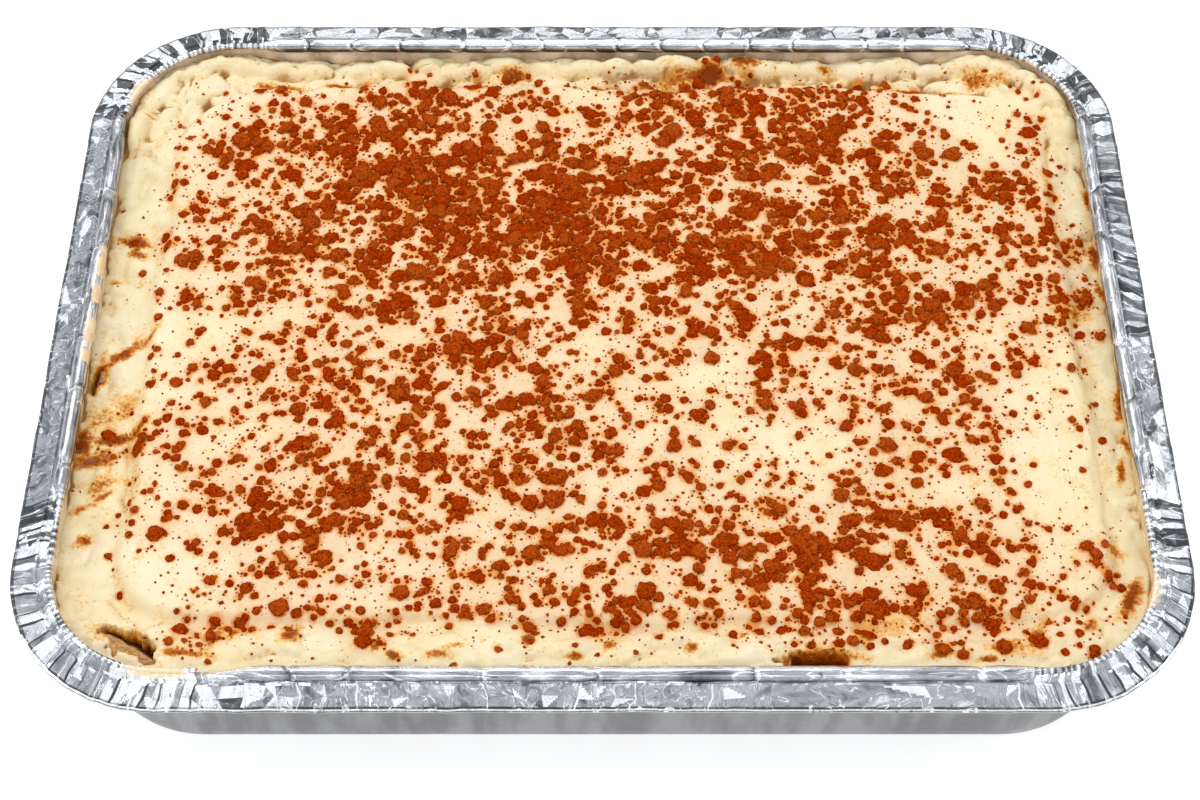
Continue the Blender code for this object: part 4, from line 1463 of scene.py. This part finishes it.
def cocoa_cover(x, y):
    """What share of the cream cocoa covers near a place: wide drifts, broken into clusters and streaks."""
    drift = 0.27
    for each in DRIFTS:
        drift = drift + 0.44 * each[5] * np.exp(-0.9 * patch_reach(x, y, each) ** 2)
    drift = np.maximum(drift, 0.03)
    turn = -0.35
    across = x * math.cos(turn) + y * math.sin(turn)
    along = y * math.cos(turn) - x * math.sin(turn)
    streak = 0.45 * soft_noise(across, 1.5 * along, 9 * MM, 147)
    streak = streak + 0.85 * soft_noise(across, 1.4 * along, 3.8 * MM, 144)
    cluster = smooth_step(0.50 + 0.80 * streak + 0.3 * (drift - 0.45))
    cover = drift * (0.45 + 1.30 * cluster) * box_weight(x, y)
    for each in EDGE_DRIFTS:
        cover = np.maximum(cover, each[5] * (0.5 + cluster) * np.exp(-1.2 * patch_reach(x, y, each) ** 2))
    return np.clip(cover, 0, 0.88)


def box_weight(x, y):
    """1 over most of the slab, and 0 at the wall."""
    inside = box_depth(x - SLAB_MIDDLE[0], y - SLAB_MIDDLE[1] + 3 * MM,
                       SLAB_HALF[0] + 8 * MM, SLAB_HALF[1] + 11 * MM, SLAB_CORNER)
    return 0.03 + 0.97 * smooth_step(inside / (13 * MM))


class Falls:
    """Where the cocoa has fallen: the places, sizes and shades of cakes, clumps, crumbs and specks."""

    # For each kind: share of the cover it makes, power of the cover it follows, spread and limits of its
    # radius as shares of the usual radius, and how close two may lie as a share of their radii.
    KINDS = {
        "cocoa_cakes": (0.66, 1.4, 0.20, (0.7, 1.5), 0.52),
        "cocoa_clumps": (0.80, 1.0, 0.24, (0.6, 1.5), 0.60),
        "cocoa_crumbs": (0.245, 0.75, 0.26, (0.6, 1.7), 0.8),
        "cocoa_specks": (0.051, 0.6, 0.34, (0.5, 1.9), 0.6),
    }

    def __init__(self, foil, food, cocoa):
        self.rng = np.random.default_rng(cocoa.seed)
        self.limit = cream_outline(foil, food)
        radii = {"cocoa_cakes": 1.7 * cocoa.clump_radius, "cocoa_clumps": cocoa.clump_radius,
                 "cocoa_crumbs": cocoa.crumb_radius, "cocoa_specks": cocoa.speck_radius}
        self.kinds = {name: self.settle(radii[name], *facts) for name, facts in self.KINDS.items()}

    def settle(self, radius, share, power, spread, limits, gap):
        """Drops pieces until they cover their share, and keeps those that don't lie mostly on another."""
        rng = self.rng
        half_x, half_y, corner = self.limit
        area = 4 * half_x * half_y
        usual = math.pi * radius**2 * math.exp(2 * spread**2)
        tries = int(3.5 * share * area / usual)
        x = rng.uniform(-half_x, half_x, tries)
        y = rng.uniform(-half_y, half_y, tries)
        cover = cocoa_cover(x, y)
        wanted = -np.log(1 - cover) * cover ** (power - 1) * share * area / usual / tries
        size = radius * np.clip(np.exp(rng.normal(0, spread, tries)) * (0.80 + 0.35 * cover), *limits)
        clear = box_depth(x, y, half_x, half_y, corner) > 1.2 * size + 0.6 * MM
        falls = (rng.uniform(0, 1, tries) < wanted) & clear
        x, y, size = x[falls], y[falls], size[falls]
        kept = self.apart(x, y, size, gap)
        return {"x": x[kept], "y": y[kept], "size": size[kept], "shade": rng.uniform(0, 1, len(kept)),
                "turn": rng.uniform(0, 2 * math.pi, len(kept))}

    @staticmethod
    def apart(x, y, size, gap):
        """The pieces that keep their distance from those that fell before them."""
        cell = 2 * gap * float(size.max())
        bins = {}
        kept = []
        for index, (here_x, here_y, here) in enumerate(zip(x.tolist(), y.tolist(), size.tolist())):
            column = int(here_x // cell)
            row = int(here_y // cell)
            near = (other for i in (-1, 0, 1) for j in (-1, 0, 1)
                    for other in bins.get((column + i, row + j), ()))
            if all(math.hypot(here_x - a, here_y - b) > gap * (here + c) for a, b, c in near):
                bins.setdefault((column, row), []).append((here_x, here_y, here))
                kept.append(index)
        return np.array(kept)


def halo_amount(x, y, falls):
    """How close each place on the cream is to drifts of cocoa, and how much of it lies right there."""
    chart = Chart(falls.limit[0], falls.limit[1], 1.0 * MM)
    sharp = Chart(falls.limit[0], falls.limit[1], 0.5 * MM)
    load = 0
    dust = 0
    for name, fall in falls.kinds.items():
        load = load + chart.load(fall["x"], fall["y"], math.pi * (fall["size"] / chart.cell) ** 2)
        right_there = sharp.load(fall["x"], fall["y"], math.pi * (fall["size"] / sharp.cell) ** 2)
        dust = dust + blurred(right_there, 2 if name == "cocoa_cakes" else 1)
    halo = 0.55 * blurred(load, 1) + 1.15 * blurred(load, 4)
    return chart.read(halo, x, y), sharp.read(dust, x, y)


def blurred(field, reach):
    """A field averaged over its neighbours, three times over."""
    for _ in range(3):
        for axis in (0, 1):
            field = sum(np.roll(field, shift, axis) for shift in range(-reach, reach + 1)) / (2 * reach + 1)
    return field


def cocoa_shape(name, seed, sides, levels, dome, rough):
    """One rough flattened lump with a radius of 1: a ragged rim, a shoulder, and a low domed top."""
    rng = np.random.default_rng(seed)
    around = (np.arange(sides) + rng.uniform(-0.28, 0.28, sides)) / sides * 2 * math.pi
    reach = 1 + rough * rng.uniform(-1, 1, sides)
    stretch = rng.uniform(0.78, 1.0)
    shape = bmesh.new()
    skirt = shape.verts.layers.float.new("skirt")
    rows = []
    for share, level in levels:
        wobble = 1 + 0.5 * rough * rng.uniform(-1, 1, sides)
        rows.append([shape.verts.new((r * w * share * math.cos(a), stretch * r * w * share * math.sin(a),
                                      level + 0.10 * dome * rng.uniform(-1, 1)))
                     for r, w, a in zip(reach, wobble, around)])
    for low, high in zip(rows, rows[1:]):
        for i in range(sides):
            shape.faces.new((low[i], low[(i + 1) % sides], high[(i + 1) % sides], high[i]))
    top = shape.verts.new((rng.uniform(-0.15, 0.15), rng.uniform(-0.15, 0.15), dome * rng.uniform(1.0, 1.35)))
    for i in range(sides):
        shape.faces.new((rows[-1][i], rows[-1][(i + 1) % sides], top))
    shape.faces.new(rows[0])
    # The rim's points mark the lighter orange foot: partly dust, partly painted light.
    for vertex in rows[0]:
        vertex[skirt] = 1.0
    bmesh.ops.recalc_face_normals(shape, faces=shape.faces)
    mesh = bpy.data.meshes.new(name)
    shape.to_mesh(mesh)
    shape.free()
    mesh.shade_smooth()
    return bpy.data.objects.new(name, mesh)


def scatter_tree(name, collection, material):
    """A tree that sets one of a collection's shapes on each point, sized, turned and tilted on the cream."""
    tree = bpy.data.node_groups.new(name, "GeometryNodeTree")
    face = tree.interface
    face.new_socket("Geometry", in_out="INPUT", socket_type="NodeSocketGeometry")
    for label, kind in (("Size", "Float"), ("Thickness", "Float"), ("Seed", "Int")):
        face.new_socket(label, in_out="INPUT", socket_type="NodeSocket" + kind).default_value = 1
    face.new_socket("Geometry", in_out="OUTPUT", socket_type="NodeSocketGeometry")

    def add(kind, settings=(), links=()):
        node = tree.nodes.new(kind)
        for key, value in dict(settings).items():
            setattr(node, key, value)
        for key, value in dict(links).items():
            if isinstance(value, bpy.types.NodeSocket):
                tree.links.new(value, node.inputs[key])
            else:
                node.inputs[key].default_value = value
        return node

    def named(attribute, kind):
        node = add("GeometryNodeInputNamedAttribute", {"data_type": kind})
        node.inputs["Name"].default_value = attribute
        return node.outputs["Attribute"]

    inputs = add("NodeGroupInput")
    shapes = add("GeometryNodeCollectionInfo", links={"Separate Children": True, "Reset Children": True})
    shapes.inputs["Collection"].default_value = collection
    pick = add("FunctionNodeRandomValue", {"data_type": "INT"})
    pick.inputs[4].default_value = 0
    pick.inputs[5].default_value = len(collection.objects) - 1
    tree.links.new(inputs.outputs["Seed"], pick.inputs["Seed"])
    tilt = add("FunctionNodeAlignRotationToVector", {"axis": "Z"},
               {"Vector": named("facing", "FLOAT_VECTOR")})
    spin = add("FunctionNodeAxisAngleToRotation", links={"Axis": (0, 0, 1), "Angle": named("turn", "FLOAT")})
    turn = add("FunctionNodeRotateRotation", {"rotation_space": "LOCAL"},
               {"Rotation": tilt.outputs[0], "Rotate By": spin.outputs[0]})
    across = add("ShaderNodeMath", {"operation": "MULTIPLY"},
                 {0: named("size", "FLOAT"), 1: inputs.outputs["Size"]})
    deep = add("ShaderNodeMath", {"operation": "MULTIPLY"},
               {0: across.outputs[0], 1: inputs.outputs["Thickness"]})
    scale = add("ShaderNodeCombineXYZ",
                links={0: across.outputs[0], 1: across.outputs[0], 2: deep.outputs[0]})
    points = add("GeometryNodeMeshToPoints", links={"Mesh": inputs.outputs["Geometry"]})
    placed = add("GeometryNodeInstanceOnPoints", links={
        "Points": points.outputs[0], "Instance": shapes.outputs[0], "Pick Instance": True,
        "Instance Index": pick.outputs[2], "Rotation": turn.outputs[0], "Scale": scale.outputs[0]})
    real = add("GeometryNodeRealizeInstances", links={"Geometry": placed.outputs[0]})
    coated = add("GeometryNodeSetMaterial", links={"Geometry": real.outputs[0], "Material": material})
    out = add("NodeGroupOutput")
    tree.links.new(coated.outputs[0], out.inputs[0])
    return tree


def scatter(name, fall, facing, height, material, shape, thickness, seed):
    """One piece of cocoa of a kind, scattered by Geometry Nodes and then made a plain mesh."""
    holder = bpy.data.collections.new(name + "_shapes")
    for index in range(7):
        holder.objects.link(cocoa_shape(f"{name}_shape_{index}", seed + index, *shape))
    points = np.stack([fall["x"], fall["y"], height], axis=-1)
    mesh = bpy.data.meshes.new(name + "_points")
    mesh.vertices.add(len(points))
    mesh.vertices.foreach_set("co", points.astype(np.float32).ravel())
    for key in ("size", "turn", "shade"):
        mesh.attributes.new(key, "FLOAT", "POINT").data.foreach_set("value", fall[key].astype(np.float32))
    tilts = mesh.attributes.new("facing", "FLOAT_VECTOR", "POINT")
    tilts.data.foreach_set("vector", facing.astype(np.float32).ravel())
    carrier = bpy.data.objects.new(name + "_points", mesh)
    bpy.context.scene.collection.objects.link(carrier)
    tree = scatter_tree(name + "_scatter", holder, material)
    modifier = carrier.modifiers.new("scatter", "NODES")
    modifier.node_group = tree
    sockets = {item.name: item.identifier for item in tree.interface.items_tree if item.in_out == "INPUT"}
    modifier[sockets["Size"]] = 1.0
    modifier[sockets["Thickness"]] = thickness
    modifier[sockets["Seed"]] = seed
    graph = bpy.context.evaluated_depsgraph_get()
    made = bpy.data.objects.new(name, bpy.data.meshes.new_from_object(carrier.evaluated_get(graph)))
    bpy.context.scene.collection.objects.link(made)
    carrier.modifiers.clear()
    bpy.data.objects.remove(carrier)
    for each in list(holder.objects):
        bpy.data.objects.remove(each)
    bpy.data.collections.remove(holder)
    hand_over(made, "cream")
    return made


# The levels of a lump of cocoa, as shares of its radius and height, and of a smaller and simpler one.
FULL_FORM = ((0.96, -0.35), (1.0, 0.15), (0.80, 0.58))
LOW_FORM = ((1.0, -0.3), (0.80, 0.55))

# For each kind: its sides, levels, dome and roughness, how thick it is, and how far it sinks into the cream.
COCOA_FORMS = {"cocoa_cakes": ((13, FULL_FORM, 0.62, 0.24), 0.50, 0.10),
               "cocoa_clumps": ((9, FULL_FORM, 0.66, 0.20), 0.60, 0.10),
               "cocoa_crumbs": ((6, LOW_FORM, 0.66, 0.20), 0.55, 0.10),
               "cocoa_specks": ((4, LOW_FORM, 0.7, 0.15), 0.6, 0.05)}


def cream_facing(food, x, y, lobes):
    """Which way the top of the cream faces at places on it."""
    reach = 0.6 * MM
    slopes = []
    for right, up in ((reach, 0), (0, reach)):
        ahead = cream_top(food, x + right, y + up, lobes)[0]
        slopes.append((ahead - cream_top(food, x - right, y - up, lobes)[0]) / (2 * reach))
    facing = np.stack([-slopes[0], -slopes[1], np.ones_like(x)], axis=-1)
    return facing / np.linalg.norm(facing, axis=1)[:, None]


def build_cocoa(foil, food, material, falls):
    """Cakes, clumps, crumbs and specks of cocoa, each kind one piece, lying on the cream."""
    lobes = lobe_list(foil)
    for index, (name, (shape, thickness, sink)) in enumerate(COCOA_FORMS.items()):
        fall = falls.kinds[name]
        x, y = fall["x"], fall["y"]
        height = cream_top(food, x, y, lobes)[0] + fall["size"] * (0.30 * fall["shade"] - sink)
        facing = cream_facing(food, x, y, lobes)
        scatter(name, fall, facing, height, material, shape, thickness, 200 + 20 * index)


# ---------------------------------------------------------------- stage


# Each light's place, what it is aimed at, its size, its power and its colour.
LIGHTS = {"overhead": ((-0.25, 0.75, 1.25), (0, 0, 0), (0.9, 0.5), 7.0, (1.0, 0.98, 0.95)),
          "left": ((-1.2, -0.3, 0.9), (0, 0, 0.03), (0.5, 0.5), 2.5, (1, 1, 1)),
          "right": ((1.2, -0.2, 0.9), (0, 0, 0.03), (0.4, 0.4), 2.5, (1, 1, 1)),
          "front": ((-0.2, -1.3, 1.3), (0, -0.1, 0), (1.0, 0.4), 3.5, (1, 1, 1))}

# What the camera is aimed at, and how far its lens is shifted up, as a share of the view's width.
CAMERA_AIM = (-0.7 * MM, -25.8 * MM, 45 * MM)
LENS_SHIFT = 7 / 3000


def area_light(name, place, aim, size, power, colour):
    light = bpy.data.lights.new(name, "AREA")
    light.shape = "RECTANGLE"
    light.size, light.size_y = size
    light.energy = power
    light.color = colour
    holder = bpy.data.objects.new(name, light)
    holder.location = place
    holder.rotation_euler = (Vector(aim) - Vector(place)).to_track_quat("-Z", "Y").to_euler()
    bpy.context.scene.collection.objects.link(holder)


def build_floor(stage):
    """A plain pale floor under the tray."""
    shape = bmesh.new()
    bmesh.ops.create_grid(shape, x_segments=8, y_segments=8, size=8.0)
    mesh = bpy.data.meshes.new("floor")
    shape.to_mesh(mesh)
    shape.free()
    floor = bpy.data.objects.new("floor", mesh)
    floor.data.transform(Matrix.Translation((0, 0, TRAY_LOW.z - 0.2 * MM)))
    bpy.context.scene.collection.objects.link(floor)
    mesh.materials.append(floor_material(stage))


def build_sky():
    """A pale sky with broad soft patches in it, for the foil to reflect."""
    world = bpy.data.worlds.new("studio")
    world.use_nodes = True
    nodes, links = world.node_tree.nodes, world.node_tree.links
    direction = nodes.new("ShaderNodeTexCoord")
    patches = nodes.new("ShaderNodeTexNoise")
    patches.inputs["Scale"].default_value = 3.4
    patches.inputs["Detail"].default_value = 1.0
    strength = nodes.new("ShaderNodeMapRange")
    strength.interpolation_type = "SMOOTHSTEP"
    for socket, value in zip((1, 2, 3, 4), (0.42, 0.58, 0.56, 1.12)):
        strength.inputs[socket].default_value = value
    links.new(direction.outputs["Generated"], patches.inputs["Vector"])
    links.new(patches.outputs[0], strength.inputs[0])
    links.new(strength.outputs[0], nodes["Background"].inputs["Strength"])
    nodes["Background"].inputs["Color"].default_value = (0.90, 0.95, 1.0, 1)
    bpy.context.scene.world = world


def place_camera(stage):
    camera = bpy.data.objects.new("camera", bpy.data.cameras.new("camera"))
    camera.data.lens = stage.lens
    camera.data.sensor_width = 36.0
    camera.data.clip_start = 0.01
    camera.data.shift_y = LENS_SHIFT
    back = Vector((0, -math.cos(stage.pitch), math.sin(stage.pitch)))
    camera.location = Vector(CAMERA_AIM) + back * stage.distance
    camera.rotation_euler = (math.pi / 2 - stage.pitch, 0, 0)
    bpy.context.scene.collection.objects.link(camera)
    bpy.context.scene.camera = camera
    bpy.context.scene.view_settings.view_transform = "Standard"


def build_stage(stage):
    """The floor, the sky, four soft lights and the camera."""
    build_floor(stage)
    build_sky()
    for name, light in LIGHTS.items():
        area_light(name, *light)
    place_camera(stage)


# ---------------------------------------------------------------- operators and panel


def settings(context):
    """The foil's, the food's and the cocoa's settings."""
    return context.scene.tray_foil, context.scene.tray_food, context.scene.tray_cocoa


class TRAY_OT_foil(bpy.types.Operator):
    """Build the foil tray with its pleats and beads"""

    bl_idname = "tray.foil"
    bl_label = "Foil tray"

    def execute(self, context):
        foil = context.scene.tray_foil
        material = foil_material(foil)
        build_tray_shell(foil, material)
        build_beads(foil, material)
        return {"FINISHED"}


class TRAY_OT_cream(bpy.types.Operator):
    """Build the cream, with its slab, lobes, stains and tears"""

    bl_idname = "tray.cream"
    bl_label = "Cream"

    def execute(self, context):
        foil, food, cocoa = settings(context)
        build_cream(foil, food, cream_material(food), Falls(foil, food, cocoa))
        return {"FINISHED"}


class TRAY_OT_sponge(bpy.types.Operator):
    """Build the coffee-soaked sponge"""

    bl_idname = "tray.sponge"
    bl_label = "Sponge"

    def execute(self, context):
        foil, food, _ = settings(context)
        build_sponge(foil, food, sponge_material(food))
        return {"FINISHED"}


class TRAY_OT_cocoa(bpy.types.Operator):
    """Scatter the cocoa on the cream"""

    bl_idname = "tray.cocoa"
    bl_label = "Cocoa"

    def execute(self, context):
        foil, food, cocoa = settings(context)
        build_cocoa(foil, food, cocoa_material(cocoa), Falls(foil, food, cocoa))
        return {"FINISHED"}


class TRAY_OT_stage(bpy.types.Operator):
    """Set up the floor, the lights and the camera"""

    bl_idname = "tray.stage"
    bl_label = "Stage"

    def execute(self, context):
        build_stage(context.scene.tray_stage)
        return {"FINISHED"}


OPERATORS = (TRAY_OT_foil, TRAY_OT_sponge, TRAY_OT_cream, TRAY_OT_cocoa, TRAY_OT_stage)
GROUPS = {"tray_foil": TRAY_PG_foil, "tray_food": TRAY_PG_food, "tray_cocoa": TRAY_PG_cocoa,
          "tray_stage": TRAY_PG_stage}


class TRAY_PT_panel(bpy.types.Panel):
    """Lists the pieces of the tray and their sizes"""

    bl_idname = "TRAY_PT_panel"
    bl_label = "Tiramisu tray"
    bl_space_type = "VIEW_3D"
    bl_region_type = "UI"
    bl_category = "Tiramisu"

    def draw(self, context):
        for operator in OPERATORS:
            self.layout.operator(operator.bl_idname)
        for name, group in GROUPS.items():
            box = self.layout.box()
            for key in group.__annotations__:
                box.prop(getattr(context.scene, name), key)


def register():
    for each in (*GROUPS.values(), *OPERATORS, TRAY_PT_panel):
        bpy.utils.register_class(each)
    for name, group in GROUPS.items():
        setattr(bpy.types.Scene, name, bpy.props.PointerProperty(type=group))


def unregister():
    for name in GROUPS:
        delattr(bpy.types.Scene, name)
    for each in (TRAY_PT_panel, *reversed(OPERATORS), *reversed(GROUPS.values())):
        bpy.utils.unregister_class(each)


def main():
    register()
    for name in ("foil", "sponge", "cream", "cocoa", "stage"):
        getattr(bpy.ops.tray, name)()


if __name__ == "__main__":
    main()
